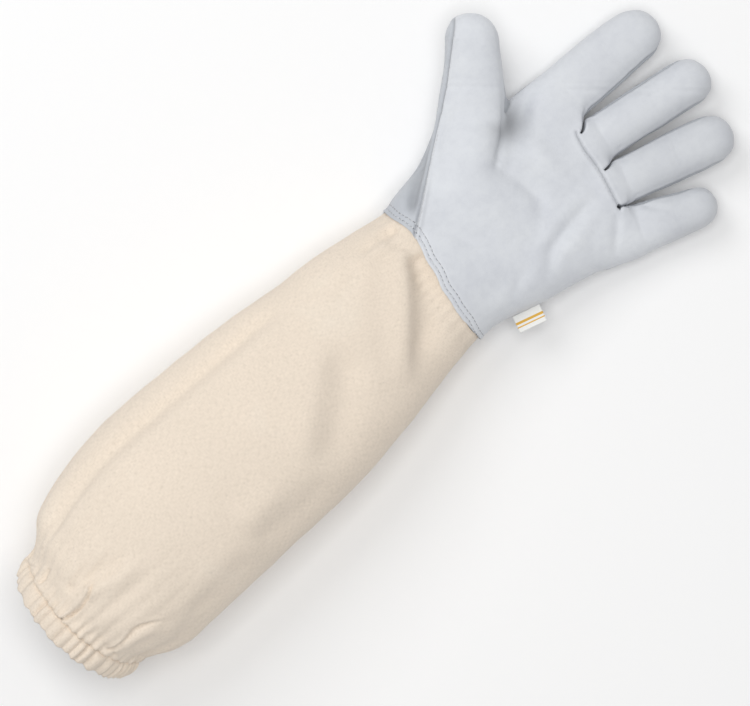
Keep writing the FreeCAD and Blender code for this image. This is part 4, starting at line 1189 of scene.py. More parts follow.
def gather_cloth(nx=112, nt=144, frames=34):
    """Simulates the gauntlet's cloth: a tube cut fuller than its hem is drawn in to the gathering line,
    filled out from inside and held at the wrist.  Returns how far each point of the tube moved, in mm."""
    x_l = np.concatenate([np.linspace(2.0, 60.0, int(nx * 0.36), endpoint=False), np.linspace(60.0, 300.0, nx - int(nx * 0.36))])
    t_l = np.arange(nt) / nt * 2 * math.pi + ths[0]
    X, Tt = np.meshgrid(x_l, t_l, indexing="ij")
    home = canvas_point(X, Tt)
    home[..., 0] += (hem_edge_x(Tt) + W_H - 3.0 - x_l[0]) * sstep(62.0, x_l[0], X)
    # the cloth as cut: as wide at the hem as it is at its fullest
    cen = home.mean(1, keepdims=True)
    full = 1 + (FULL - 1) * sstep(50.0, 4.0, X)[..., None]
    cut = cen + (home - cen) * full
    cut[..., 0] = home[..., 0]
    nl = np.cross(np.roll(home, -1, 1) - np.roll(home, 1, 1), np.gradient(home, axis=0))
    nl /= np.linalg.norm(nl, axis=-1, keepdims=True)
    if (nl[nx // 2] * (home[nx // 2] - home[nx // 2].mean(0))).sum() < 0:
        nl = -nl
    drawn = cut.copy()
    drawn[:2] = home[:2] + nl[:2] * (0.9 * pleats(Tt[:2])[1])[..., None]
    i, j = np.meshgrid(np.arange(nx - 1), np.arange(nt), indexing="ij")
    a, b = (i * nt + j).ravel(), (i * nt + (j + 1) % nt).ravel()
    quads = np.stack([a, b, b + nt, a + nt], 1)
    v = cut.reshape(-1, 3)
    fn = np.cross(v[quads[:, 1]] - v[quads[:, 0]], v[quads[:, 2]] - v[quads[:, 0]])
    if (fn * nl.reshape(-1, 3)[quads[:, 0]]).sum() < 0:
        quads = quads[:, ::-1]
    me = bpy.data.meshes.new("cloth_work")
    me.from_pydata([tuple(c) for c in to_m(v)], [], quads.tolist())
    ob = bpy.data.objects.new("cloth_work", me)
    sc = bpy.context.scene
    sc.collection.objects.link(ob)
    ob.shape_key_add(name="cut")
    key = ob.shape_key_add(name="drawn")
    key.data.foreach_set("co", to_m(drawn.reshape(-1, 3)).astype(np.float32).ravel())
    key.value = 0.0
    key.keyframe_insert("value", frame=1)
    key.value = 1.0
    key.keyframe_insert("value", frame=18)
    pin = ob.vertex_groups.new(name="pin")
    rows = np.arange(nx)
    held = np.nonzero((rows < 2) | (x_l > 284.0))[0]
    pin.add([int(r * nt + c) for r in held for c in range(nt)], 1.0, "REPLACE")
    # along the body an arm fills the sleeve: the cloth there is only loosely drawn back to its form
    for r in np.nonzero((rows >= 2) & (x_l <= 284.0))[0]:
        w = 0.03 + 0.32 * float(sstep(34.0, 84.0, x_l[r]))
        pin.add([int(r * nt + c) for c in range(nt)], w, "REPLACE")
    mod = ob.modifiers.new("cloth", "CLOTH")
    st = mod.settings
    st.quality = 7
    st.mass = 0.0002
    st.tension_stiffness = st.compression_stiffness = 18.0
    st.shear_stiffness = 6.0
    st.bending_stiffness = 0.6
    st.tension_damping = st.compression_damping = 12.0
    st.shear_damping = 8.0
    st.bending_damping = 0.8
    st.air_damping = 3.0
    st.vertex_group_mass = "pin"
    st.pin_stiffness = 0.6
    st.use_pressure = True
    st.uniform_pressure_force = 3.6
    st.effector_weights.gravity = 0.15
    mod.collision_settings.use_collision = False
    mod.collision_settings.use_self_collision = False
    mod.point_cache.frame_start, mod.point_cache.frame_end = 1, frames
    for fr in range(1, frames + 1):
        sc.frame_set(fr)
    dg = bpy.context.evaluated_depsgraph_get()
    em = ob.evaluated_get(dg).data
    co = np.zeros(len(em.vertices) * 3, np.float32)
    em.vertices.foreach_get("co", co)
    out = co.reshape(nx, nt, 3).astype(float) * 1000 - SHIFT
    sc.frame_set(1)
    bpy.data.objects.remove(ob, do_unlink=True)
    bpy.data.meshes.remove(me)
    move = out - home
    ok = np.isfinite(move).all() and np.abs(move).max() < 40
    print("cloth moved mean/max mm", float(np.abs(move).mean()), float(np.abs(move).max()), "kept", bool(ok))
    if not ok:
        return np.zeros(base.shape)
    # onto the finer grid: round the tube by its harmonics, along it by cubic pieces
    F = np.fft.rfft(move, axis=1)
    k = np.arange(F.shape[1])
    # the filled-out form itself is the tube's own; the cloth's folds on it are kept
    F = F * (0.12 + 0.88 * sstep(2.0, 7.0, k))[None, :, None]
    ph = np.exp(1j * np.outer(k, ths - ths[0])) * np.where((k == 0) | (k == nt // 2), 1.0, 2.0)[:, None] / nt
    fine_t = np.real(np.einsum("xkc,kt->xtc", F, ph))
    slope = np.gradient(fine_t, x_l, axis=0)
    q = np.clip(xs, x_l[0], x_l[-1])
    i0 = np.clip(np.searchsorted(x_l, q) - 1, 0, nx - 2)
    hgap = (x_l[i0 + 1] - x_l[i0])[:, None, None]
    u = ((q - x_l[i0])[:, None, None]) / hgap
    return (
        (2 * u**3 - 3 * u**2 + 1) * fine_t[i0] + (u**3 - 2 * u**2 + u) * hgap * slope[i0]
        + (3 * u**2 - 2 * u**3) * fine_t[i0 + 1] + (u**3 - u**2) * hgap * slope[i0 + 1]
    )


FULL = 1.26  # how much fuller than the gathering line the cloth is cut at the hem
sim_move = gather_cloth()
rel = np.zeros(GX.shape)


def fold(points, height, width, skew=0.0, fade=(0.15, 0.2), both=False):
    """A raised fold along a plan polyline on the upper side: positive height is a ridge."""
    pts = flowing(points)
    seg = np.linalg.norm(np.diff(pts, axis=0), axis=1)
    total, run = seg.sum(), 0.0
    best = np.full(GX.shape, 1e9)
    sd = np.zeros(GX.shape)
    al = np.zeros(GX.shape)
    for (a, b), L in zip(zip(pts[:-1], pts[1:]), seg):
        d = (b - a) / L
        r = PX - a
        t = np.clip(r @ d, 0, L)
        q = r - t[..., None] * d
        l = np.linalg.norm(q, axis=-1)
        c = l < best
        best = np.where(c, l, best)
        sd = np.where(c, np.sign(d[0] * q[..., 1] - d[1] * q[..., 0]), sd)
        al = np.where(c, (run + t) / total, al)
        run += L
    f = sstep(0, fade[0], al) * sstep(1, 1 - fade[1], al)
    signed = best * sd
    w = np.where(signed > 0, width * (1 + skew), width * (1 - skew))
    shape = gauss(signed, w) - 0.35 * gauss(signed - 2.1 * w * np.sign(signed + 1e-9), 1.1 * w)
    return height * shape * f * (1.0 if both else upw)


def crease(points, depth, lift, reach, fade=(0.1, 0.35)):
    """A sharp tuck: the cloth swells towards the line on its left and drops into a narrow groove along it."""
    pts = flowing(points)
    seg = np.linalg.norm(np.diff(pts, axis=0), axis=1)
    total, run = seg.sum(), 0.0
    best = np.full(GX.shape, 1e9)
    sd = np.zeros(GX.shape)
    al = np.zeros(GX.shape)
    for (a, b), L in zip(zip(pts[:-1], pts[1:]), seg):
        d = (b - a) / L
        r = PX - a
        t = np.clip(r @ d, 0, L)
        q = r - t[..., None] * d
        l = np.linalg.norm(q, axis=-1)
        c = l < best
        best = np.where(c, l, best)
        sd = np.where(c, np.sign(d[0] * q[..., 1] - d[1] * q[..., 0]), sd)
        al = np.where(c, (run + t) / total, al)
        run += L
    f = sstep(0, fade[0], al) * sstep(1, 1 - fade[1], al)
    left = best * (sd > 0)
    rise = np.where(sd > 0, np.exp(-best / reach) * sstep(0, 1.6, best), 0.25 * np.exp(-best / (0.5 * reach)) * sstep(0, 1.6, best))
    return (lift * rise - depth * gauss(best, 0.95)) * f * upw


# the long soft fold near the thumb-side edge, the ridge down from the wrist and the pucker at its head
rel += fold(seen(70, (288, 286), (247, 309), (217, 333), (182, 363), (148, 392), (109, 427), (84, 452), (64, 478), (46, 509), (38, 540)), 1.7, 5.0, 0.0, fade=(0.15, 0.1))
rel += fold(seen(74, (304, 297), (262, 322), (232, 347), (197, 377), (162, 407), (122, 442), (97, 467), (77, 492), (57, 522), (47, 548)), -2.9, 4.2, 0.25, fade=(0.2, 0.1))
rel += fold(seen(72, (402, 246), (405, 270), (406, 310), (407, 350), (408, 400)), 2.3, 5.5, -0.2, fade=(0.05, 0.35))
rel += fold(seen(70, (421, 250), (427, 280), (430, 320), (429, 360), (426, 400)), -3.8, 8.8, 0.0, fade=(0.05, 0.35))
rel += fold(seen(84, (322, 330), (318, 370), (311, 420), (300, 476)), 1.5, 8.0, 0.0, fade=(0.25, 0.3))
rel += fold(seen(80, (344, 340), (344, 385), (338, 430), (324, 478)), -2.6, 12.0, 0.0, fade=(0.25, 0.3))
rel += fold(seen(66, (254, 548), (284, 522), (312, 498), (336, 472)), -1.8, 7.0, 0.0, fade=(0.25, 0.3))
rel += fold(seen(76, (236, 532), (262, 508), (286, 486)), 1.2, 8.0, 0.0, fade=(0.25, 0.3))
rel += fold(seen(74, (330, 302), (348, 284), (366, 262)), -1.2, 5.0, 0.0, fade=(0.25, 0.3))
rel += fold(seen(76, (196, 612), (226, 584), (262, 552)), -1.3, 6.0, 0.0, fade=(0.25, 0.3))
rel += fold(seen(60, (396, 226), (386, 234), (368, 248), (350, 262)), -2.2, 3.2, 0.0, fade=(0.05, 0.4))
rel += fold(seen(60, (388, 236), (360, 262), (330, 282)), 0.9, 6.0, 0.0)
rel += fold(seen(72, (452, 330), (436, 368), (410, 404), (380, 436)), 1.0, 9.0, 0.2)
rel += fold(seen(72, (440, 312), (424, 340), (400, 372)), -0.7, 7.0, 0.0)
# folds that run in from the gathered hem
rel += crease(seen(88, (57, 618), (64, 618), (71, 615), (77, 611), (84, 604), (91, 593), (94, 582), (95, 578)), 2.6, 2.8, 7.5, fade=(0.05, 0.16))
rel += crease(seen(72, (42, 583), (46, 580), (49, 574), (53, 565)), 1.7, 1.7, 4.0, fade=(0.1, 0.3))
rel += crease(seen(88, (76, 643), (82, 638), (87, 632), (92, 630)), 1.4, 1.0, 3.0, fade=(0.1, 0.3))
rel += crease(seen(88, (83, 655), (86, 647), (88, 640), (92, 636)), 1.3, 1.0, 3.0, fade=(0.1, 0.3))
rel += crease(seen(88, (106, 650), (114, 647), (122, 642), (129, 635), (136, 628), (146, 624), (160, 621), (172, 622)), 1.1, 2.2, 7.0, fade=(0.05, 0.4))
rel += fold(seen(88, (112, 652), (126, 645), (140, 636), (160, 631), (182, 634)), 1.8, 4.0, 0.0, fade=(0.05, 0.4))
rel += crease(seen(72, (120, 667), (134, 663), (146, 655), (158, 649), (170, 645)), 0.9, 1.2, 4.5, fade=(0.05, 0.4))
rel += fold(seen(88, (66, 592), (84, 582), (108, 571), (124, 558), (138, 544)), -2.2, 4.4, 0.2, fade=(0.1, 0.35))
rel += fold(seen(88, (86, 594), (108, 582), (130, 566), (148, 548)), 1.6, 6.0, 0.0, fade=(0.1, 0.4))
rel += fold(seen(72, (176, 640), (190, 624), (204, 606), (222, 590)), -1.3, 4.0, 0.0, fade=(0.1, 0.4))
rel += fold(seen(72, (34, 566), (40, 552), (48, 536)), 1.1, 3.6, 0.0, fade=(0.03, 0.5))
# gathers at the hem: the canvas is fuller than the elastic
ph1 = 46 * GT + 1.7 * np.sin(3 * GT + 0.7) + 1.3 * np.sin(7 * GT + 2.1)
ph2 = 23 * GT + 2.2 * np.sin(2 * GT + 1.1) + 1.1 * np.sin(5 * GT + 0.3)
ph3 = 11 * GT + 1.8 * np.sin(3 * GT + 2.4)
amp = 0.55 + 0.45 * np.sin(5 * GT + 0.9) * np.sin(3 * GT + 0.2)
rel += 1.0 * pleats(GT)[1] * gauss(np.maximum(GX - 5, 0), 4.0 + 3.5 * amp)
rel += 0.35 * np.sin(ph1) * (0.6 + 0.4 * amp) * gauss(np.maximum(GX - 8, 0), 9.0)
own = 0.25 if np.abs(sim_move).max() > 0.5 else 1.0  # the cloth has made most of its own folds there
rel += own * 1.1 * np.sin(ph2 + 0.02 * GX) * amp * gauss(GX - 11, 13.0)
rel += 1.3 * gauss(GX - 5.5, 3.6)
rel -= 2.0 * sstep(5.2, 2.6, GX)  # the canvas end goes down under the casing
rel += own * 1.6 * np.sin(ph3 + 0.03 * GX) * gauss(GX - 26, 22.0) * (0.5 + 0.5 * amp)
# puckers where the canvas is sewn into the leather
rel += 0.22 * np.sin(31 * GT + 2 * np.sin(3 * GT)) * gauss(np.maximum(292 - GX, 0), 6.0) * sstep(306, 296, GX)
rel += 0.40 * np.sin(9 * GT + 1.5 * np.sin(2 * GT)) * gauss(GX - 268, 20.0)
P3 = base.reshape(-1, 3)
rel += (1.5 * noise3(P3, 62, 11) + 0.8 * noise3(P3 * np.array([0.6, 1, 1]), 27, 12) + 0.30 * noise3(P3, 11, 13)).reshape(GX.shape)
rel -= 1.3 * upw * gauss(GX - 294.0, 5.5)
rel *= sstep(308, 297, GX) * 0.98 + 0.02
pos = base + sim_move * lerp(0.75, 0.27, upw)[..., None] + gn * rel[..., None]
# the side seam on the little-finger side: a lapped, top-stitched line with a slight pucker
SEAM_TH = -math.pi + 0.42  # seen just inside the lower edge from the palm side
d_seam = (np.mod(GT - SEAM_TH + math.pi, 2 * math.pi) - math.pi) * S_A(GX)
seam_pucker = 0.25 * np.sin(GX * 2 * math.pi / 7.5 + 2 * np.sin(GX * 0.05))
pos += gn * ((-0.9 * gauss(d_seam, 1.1) + 0.55 * gauss(d_seam - 3.2, 2.0) + seam_pucker * gauss(d_seam, 5.0)) * sstep(306, 290, GX))[..., None]
pos[..., 2] = np.maximum(pos[..., 2], 0.25)
canvas_seam = (0.9 * gauss(d_seam, 0.9)).ravel()
# flat coordinates of the cloth, in metres, for its weave
vflat = np.cumsum(np.concatenate([[0], np.diff(xs)])) * 0.001
girth = 2 * math.pi * 58.0
uvv = np.stack([np.broadcast_to(np.arange(NT) / NT * girth * 0.001, GX.shape), np.broadcast_to(vflat[:, None], GX.shape)], -1).reshape(-1, 2)


def tube_faces(nx, nt, flip=False):
    i, j = np.meshgrid(np.arange(nx - 1), np.arange(nt), indexing="ij")
    a = (i * nt + j).ravel()
    b = (i * nt + (j + 1) % nt).ravel()
    c = ((i + 1) * nt + (j + 1) % nt).ravel()
    d = ((i + 1) * nt + j).ravel()
    q = np.stack([a, b, c, d], 1)
    return q[:, ::-1] if flip else q


def grid_normals(pos):
    du = np.gradient(pos, axis=0)
    dt = np.roll(pos, -1, 1) - np.roll(pos, 1, 1)
    n = np.cross(dt, du)
    n /= np.maximum(np.linalg.norm(n, axis=-1, keepdims=True), 1e-12)
    c = pos.mean(1, keepdims=True)
    if (n * (pos - c)).sum() < 0:
        n = -n
    return n


def tube_shell(name, pos, thick, material, uv, attrs=None, mat_in=None, rest_pos=None):
    """A closed tube wall from a grid of rows (along) by columns (round)."""
    nx, nt = pos.shape[:2]
    n = grid_normals(pos)
    inner = pos - n * thick
    N = nx * nt
    q = tube_faces(nx, nt)
    # orientation: outward
    v = pos.reshape(-1, 3)
    fn = np.cross(v[q[:, 1]] - v[q[:, 0]], v[q[:, 2]] - v[q[:, 0]])
    out = (fn * n.reshape(-1, 3)[q[:, 0]]).sum() > 0
    if not out:
        q = q[:, ::-1]
    j = np.arange(nt)
    k = (j + 1) % nt
    r0 = np.stack([j, k, k + N, j + N], 1)
    r1 = np.stack([j, k, k + N, j + N], 1) + (nx - 1) * nt
    r1 = r1[:, ::-1]
    if out:
        first = q[0]
        # row 0 rim must run opposite to the outer faces' edge
        a, b = first[0], first[1]
        pass
    faces = np.concatenate([q, q[:, ::-1] + N])
    rims = []
    edges = {(int(a), int(b)) for f in q[: nt] for a, b in zip(f, np.roll(f, -1))}
    flip0 = (0, 1) in edges
    rims.append(r0[:, ::-1] if flip0 else r0)
    last = q[-nt:]
    edges = {(int(a), int(b)) for f in last for a, b in zip(f, np.roll(f, -1))}
    base_i = (nx - 1) * nt
    fwd = (base_i, base_i + 1) in edges
    r1 = np.stack([j, k, k + N, j + N], 1) + base_i
    rims.append(r1[:, ::-1] if fwd else r1)
    faces = np.concatenate([faces, *rims])
    P = np.concatenate([v, inner.reshape(-1, 3)])
    rp = (rest_pos if rest_pos is not None else pos).reshape(-1, 3)
    at = {kk: np.concatenate([np.ravel(vv)] * 2) for kk, vv in (attrs or {"seam": np.zeros(N)}).items()}
    o = new_object(name, P, faces, rest_mm=np.concatenate([rp, rp]), attrs=at, material=material, uv=np.concatenate([uv, uv]))
    if mat_in:
        o.data.materials.append(mat_in)
        mi = np.zeros(len(faces), np.int32)
        mi[len(q) : 2 * len(q)] = 1
        o.data.polygons.foreach_set("material_index", mi)
    return o


canvas = tube_shell("gauntlet_canvas", pos, 0.8, M_CANVAS, uvv, {"seam": canvas_seam}, M_INSIDE)
area = float(np.linalg.norm(np.cross(np.gradient(pos, axis=0), (np.roll(pos, -1, 1) - pos)), axis=-1).sum()) * 1e-6
finish_piece(canvas, ["sleeve_canvas", "sleeve_wrist_canvas"],
             blend=("sleeve", "hand", pt((243.0, 0), 40), pt((291.0, 0), 40)))  # fmt: skip
print("canvas area", area)

# ------------------------------------------------------------------ hem
NH = 26
HT = 480


hth = np.arange(HT) / HT * 2 * math.pi
prof = np.linspace(0, 1, NH)
# profile: out from the gathering line over the puffed channel to the folded edge, and back inside
edge = hem_edge_x(hth)
amp_h = 0.75 + 0.25 * np.sin(7 * hth + 0.5) + 0.15 * np.sin(13 * hth)
k1, pk = pleats(hth)
pk2 = np.sin(27 * hth + 1.3 * np.sin(5 * hth))
section = []
for t in np.linspace(0, 1, 20):
    # t 0 at the gathering seam (x = edge + W), 1 at the folded edge; outside layer
    bulge = math.sin(math.pi * min(t * 1.04, 1.0)) ** 0.75
    section.append((W_H * (1 - t), 0.3 + 1.45 * bulge - 1.7 * math.exp(-14 * t), 0.75 + 0.55 * bulge))
for t in np.linspace(0.06, 1, 14):
    bulge = math.sin(math.pi * (1 - t)) ** 0.8
    section.append((W_H * t, -1.3 - 1.6 * bulge, 0.25 + 0.5 * bulge))
hem_pos = np.zeros((len(section), HT, 3))
RY, RZ, CY, CZ = 43.9, 44.3, 2.3, 46.7  # the ring that the casing lies on
for i, (dx, dr, am) in enumerate(section):
    r = dr + am * (1.25 * pk * amp_h + 0.25 * pk2)
    x = edge + dx + 0.5 * pk2 * bulge * 0 + (0.35 * np.sin(k1 + 1.2) + 0.55 * np.sin(19 * hth + 1.3 * np.sin(6 * hth))) * (1 if dr > 0 else 0.5)
    hem_pos[i, :, 0] = x
    hem_pos[i, :, 1] = CY + (RY + r) * np.cos(hth)
    hem_pos[i, :, 2] = CZ + (RZ + r) * np.sin(hth)
huv = np.stack(
    [np.broadcast_to(hth / (2 * math.pi) * 0.36, (len(section), HT)), np.broadcast_to((np.arange(len(section)) * 0.0008)[:, None], (len(section), HT))], -1
).reshape(-1, 2)
hem_seam_and_pleat_shade = np.broadcast_to(np.array([gauss((s[0] - W_H) / 1.2, 1.0) * 0.9 for s in section])[:, None], (len(section), HT))
# painted shade: the casing's colour is darkened in the valleys between the pleats
hem_seam_and_pleat_shade = np.maximum(hem_seam_and_pleat_shade, 1.3 * np.clip((-pk - 0.15) / 0.8, 0, 1)[None, :] * np.ones((len(section), 1)))
hem_pos[..., 2] = np.maximum(hem_pos[..., 2], 0.3)
hem = tube_shell("hem_casing_canvas", hem_pos, 0.75, M_CANVAS, huv, {"seam": hem_seam_and_pleat_shade.ravel()})
finish_piece(hem, ["hem_casing"], body="sleeve")

# elastic inside the channel
er = []
for dx, dr in ((3.0, -0.2), (3.0, 0.75), (5.0, 0.8), (7.0, 0.8), (9.0, 0.75), (11.0, 0.7), (11.0, -0.2), (8.0, -0.3), (5.0, -0.3)):
    er.append((dx, dr))
E = np.zeros((len(er), HT, 3))
wave = 1.25 * pk * amp_h + 0.25 * pk2
top, low = [], []
for dx, dr in er:
    b_out = math.sin(math.pi * min((1 - dx / W_H) * 1.04, 1.0)) ** 0.75
    b_in = math.sin(math.pi * (1 - dx / W_H)) ** 0.8
    top.append(0.3 + 1.45 * b_out - 1.7 * math.exp(-14 * (1 - dx / W_H)) + (0.75 + 0.55 * b_out) * wave - 1.0)
    low.append(-1.3 - 1.6 * b_in + (0.25 + 0.5 * b_in) * wave + 0.9)
plain = [dr + 0.4 * pk * amp_h - 0.1 for dx, dr in er]
# where the casing is drawn into a groove the elastic is pressed in with it
press = np.minimum(0.0, np.min([t - r for t, r in zip(top, plain)], axis=0))
for i, (dx, dr) in enumerate(er):
    rr = np.minimum(np.maximum(plain[i] + press, low[i]), top[i] - (0.0 if dr > 0 else 0.3))
    E[i, :, 0] = edge + dx
    E[i, :, 1] = CY + (RY + rr) * np.cos(hth)
    E[i, :, 2] = CZ + (RZ + rr) * np.sin(hth)


def ring_mesh(name, rows, mat_, uvw=0.36):
    """A closed ring from a closed section (rows round the section, columns round the ring)."""
    m, nt = rows.shape[:2]
    i, j = np.meshgrid(np.arange(m), np.arange(nt), indexing="ij")
    a = (i * nt + j).ravel()
    b = (i * nt + (j + 1) % nt).ravel()
    c = (((i + 1) % m) * nt + (j + 1) % nt).ravel()
    d = (((i + 1) % m) * nt + j).ravel()
    q = np.stack([a, b, c, d], 1)
    v = rows.reshape(-1, 3)
    cen = np.repeat(rows.mean(0)[None], m, 0).reshape(-1, 3)
    fn = np.cross(v[q[:, 1]] - v[q[:, 0]], v[q[:, 2]] - v[q[:, 0]])
    if (fn * (v[q[:, 0]] - cen[q[:, 0]])).sum() < 0:
        q = q[:, ::-1]
    uv = np.stack([np.broadcast_to(np.arange(nt) / nt * uvw, (m, nt)), np.broadcast_to(np.arange(m)[:, None] * 0.001, (m, nt))], -1).reshape(-1, 2)
    return new_object(name, v, q, attrs={"seam": np.zeros(len(v))}, material=mat_, uv=uv)


def elastic_material():
    m, nt, b = material("elastic_rubber")
    uvn = node(nt, "ShaderNodeUVMap", uv_map="UVMap")
    sep = node(nt, "ShaderNodeSeparateXYZ")
    nt.links.new(uvn.outputs[0], sep.inputs[0])
    rib = math_node(nt, "SINE", math_node(nt, "MULTIPLY", sep.outputs[1], 2 * math.pi / 0.001))
    n = noise_tex(nt, rest_coord(nt), 1.1, 3)
    nt.links.new(ramp(nt, n, [(0.3, lin(222, 218, 208)), (0.7, lin(238, 235, 228))]), b.inputs["Base Color"])
    b.inputs["Roughness"].default_value = 0.75
    bump = node(nt, "ShaderNodeBump")
    bump.inputs["Strength"].default_value = 0.5
    bump.inputs["Distance"].default_value = 0.0002
    nt.links.new(rib, bump.inputs["Height"])
    nt.links.new(bump.outputs[0], b.inputs["Normal"])
    return m


finish_piece(ring_mesh("elastic_band_ribbed", E, elastic_material()), ["elastic_band"], body="sleeve")

# ------------------------------------------------------------------ stitches
def hole_mesh(name, items, radius, material_):
    """Small needle holes pressed into the leather at the ends of the stitches, coloured dark as painted shade in the
    holes.
    """
    P, F = [], []
    for a, b, up in items:
        up = np.asarray(up) / np.linalg.norm(up)
        d = np.asarray(b) - np.asarray(a)
        d = d / np.linalg.norm(d)
        sd = np.cross(d, up)
        for c in (a - d * 0.15, b + d * 0.15):
            k = len(P)
            for q in range(7):
                an = q / 7 * 2 * math.pi
                P.append(c + radius * (math.cos(an) * d + 0.8 * math.sin(an) * sd) + up * 0.02)
            P.append(c + up * 0.12)
            P.append(c - up * 0.5)
            for q in range(7):
                F.append((k + q, k + (q + 1) % 7, k + 7))
                F.append((k + (q + 1) % 7, k + q, k + 8))
    return new_object(name, np.array(P), np.array(F), material=material_)


def stitch_mesh(name, items, radius, material_, segs=8, rings=5):
    """Small rounded stitches: items are (start, end, up) in mm; each bows up a little."""
    P, F = [], []
    th = np.arange(segs) / segs * 2 * math.pi
    for a, b, up in items:
        a, b, up = map(np.asarray, (a, b, up))
        d = b - a
        L = np.linalg.norm(d)
        d = d / L
        up = up - d * (up @ d)
        up = up / np.linalg.norm(up)
        sd = np.cross(d, up)
        off = len(P)
        k0 = len(P)
        for i in range(rings):
            t = i / (rings - 1)
            rr = radius * (0.55 + 0.45 * math.sin(math.pi * (0.12 + 0.76 * t)))
            c = a + (b - a) * t + up * (0.9 * radius * math.sin(math.pi * t) - 0.35 * radius)
            for q in th:
                P.append(c + rr * (math.cos(q) * up * 0.85 + math.sin(q) * sd))
        P.append(a - up * 0.5 * radius - d * radius * 0.3)
        P.append(b - up * 0.5 * radius + d * radius * 0.3)
        e0, e1 = len(P) - 2, len(P) - 1
        for i in range(rings - 1):
            for j in range(segs):
                A, B = k0 + i * segs + j, k0 + i * segs + (j + 1) % segs
                C, D = B + segs, A + segs
                F += [(A, B, C), (A, C, D)]
        for j in range(segs):
            F.append((k0 + (j + 1) % segs, k0 + j, e0))
            F.append((k0 + (rings - 1) * segs + j, k0 + (rings - 1) * segs + (j + 1) % segs, e1))
    P, F = np.array(P), np.array(F)
    return new_object(name, P, F, material=material_)


tree = kdtree.KDTree(int(on.sum()))
on_ids = np.nonzero(on)[0]
for i in on_ids:
    tree.insert(p[i], int(i))
tree.balance()


def surf(q):
    """Nearest point and normal of the finished leather surface."""
    co, i, d = tree.find(Vector(q))
    n = nrm[i]
    q = np.asarray(q, float)
    return q - n * ((q - p[i]) @ n), n


def along(points, pitch, length, closed=False):
    """Stitches of that length at that pitch along a polyline of surface points."""
    pts = np.asarray(points, float)
    if closed:
        pts = np.concatenate([pts, pts[:1]])
    seg = np.linalg.norm(np.diff(pts, axis=0), axis=1)
    cum = np.concatenate([[0], np.cumsum(seg)])
    out = []
    s = 0.3 * pitch
    while s + length < cum[-1]:
        ends = []
        for q in (s, s + length):
            ends.append(np.array([np.interp(q, cum, pts[:, k]) for k in range(3)]))
        a, na = surf(ends[0])
        b, nb = surf(ends[1])
        if np.linalg.norm(a - b) > 0.5 * length:
            out.append((a, b, na + nb))
        s += pitch
    return out


def wrist_row(offset):
    """Points round the wrist at that distance from the leather's edge."""
    out = []
    for th in np.linspace(0, 2 * math.pi, 220, endpoint=False):
        lo, hi = -6.0, 20.0
        # walk along the hand at this angle until the edge field reads offset
        for _ in range(22):
            u = (lo + hi) / 2
            a, vc, zh = (palm_top(u) - palm_bot(u)) / 2, (palm_top(u) + palm_bot(u)) / 2, palm_thick(u) / 2
            c, s = math.cos(th), math.sin(th)
            n = 2.9 if s < 0 else 2.35
            r = ((abs(c) / a) ** n + (abs(s) / zh) ** n) ** (-1 / n)
            q = hand_xyz(np.array(u), np.array(vc + r * c), np.array(zh + r * s))
            if edge_field(q) < offset:
                lo = u
            else:
                hi = u
        out.append(q)
    return np.array(out)


for k, row in enumerate(ROWS):
    st = along(wrist_row(row), 3.0, 1.7, closed=True)
    o = stitch_mesh(f"wrist_stitches_{k + 1}", st, 0.27, M_THREAD)
    finish_piece(o, [f"wrist_stitching_{k + 1}"], body="hand")
    finish_piece(hole_mesh(f"wrist_needle_holes_{k + 1}", st, 0.5, M_HOLE), [], body="hand")


def plan_line(points, dz=60.0):
    """Drops a plan polyline onto the upper surface."""
    pts = []
    P = np.array(points, float)
    for a, b in zip(P[:-1], P[1:]):
        for t in np.linspace(0, 1, 12, endpoint=False):
            pts.append(a + (b - a) * t)
    pts.append(P[-1])
    out = []
    for q in pts:
        lo, hi = 8.0, dz
        for _ in range(20):
            mz = (lo + hi) / 2
            if hand_sdf(np.array([q[0], q[1], mz])) < 0:
                lo = mz
            else:
                hi = mz
        out.append((q[0], q[1], lo))
    return np.array(out)


gunn_line = plan_line([(x - 2.1, y) for x, y in GUNN[2:-2]])
finish_piece(stitch_mesh("gunn_stitches", along(gunn_line, 2.6, 1.5), 0.17, M_THREAD), ["gunn_stitching"], body="hand")
wl = np.array([(x + 1.7 * 0.6, y - 1.7 * 0.8) for x, y in WRAP[2:7]])
finish_piece(stitch_mesh("thumb_seam_stitches", along(plan_line(wl), 2.5, 1.7), 0.25, M_THREAD), [], body="hand")


def canvas_line(th_of_x, x0, x1, n=160, lift=0.0):
    out, nn = [], []
    G = grid_normals(pos)
    for x in np.linspace(x0, x1, n):
        th = th_of_x(x)
        j = int(round((th - ths[0]) / (2 * math.pi) * NT)) % NT
        i = int(np.argmin(np.abs(xs - x)))
        out.append(pos[i, j] + G[i, j] * lift)
        nn.append(G[i, j])
    return np.array(out), np.array(nn)


def along_free(P, N, pitch, length):
    seg = np.linalg.norm(np.diff(P, axis=0), axis=1)
    cum = np.concatenate([[0], np.cumsum(seg)])
    out, s = [], 0.2
    while s + length < cum[-1]:
        a = np.array([np.interp(s, cum, P[:, k]) for k in range(3)])
        b = np.array([np.interp(s + length, cum, P[:, k]) for k in range(3)])
        n = np.array([np.interp(s, cum, N[:, k]) for k in range(3)])
        out.append((a, b, n))
        s += pitch
    return out


# a row of stitching round the hem, beside the casing
rows_h = []
GN = grid_normals(pos)
for xq in (4.6,):
    i = int(np.argmin(np.abs(xs - xq)))
    P_, N_ = pos[i], GN[i]
    P_, N_ = np.concatenate([P_, P_[:1]]), np.concatenate([N_, N_[:1]])
    rows_h += along_free(P_ + N_ * 0.05, N_, 2.9, 2.0)
o = stitch_mesh("hem_stitches", rows_h, 0.22, M_THREAD_C)
finish_piece(o, ["hem_stitching"], body="sleeve")

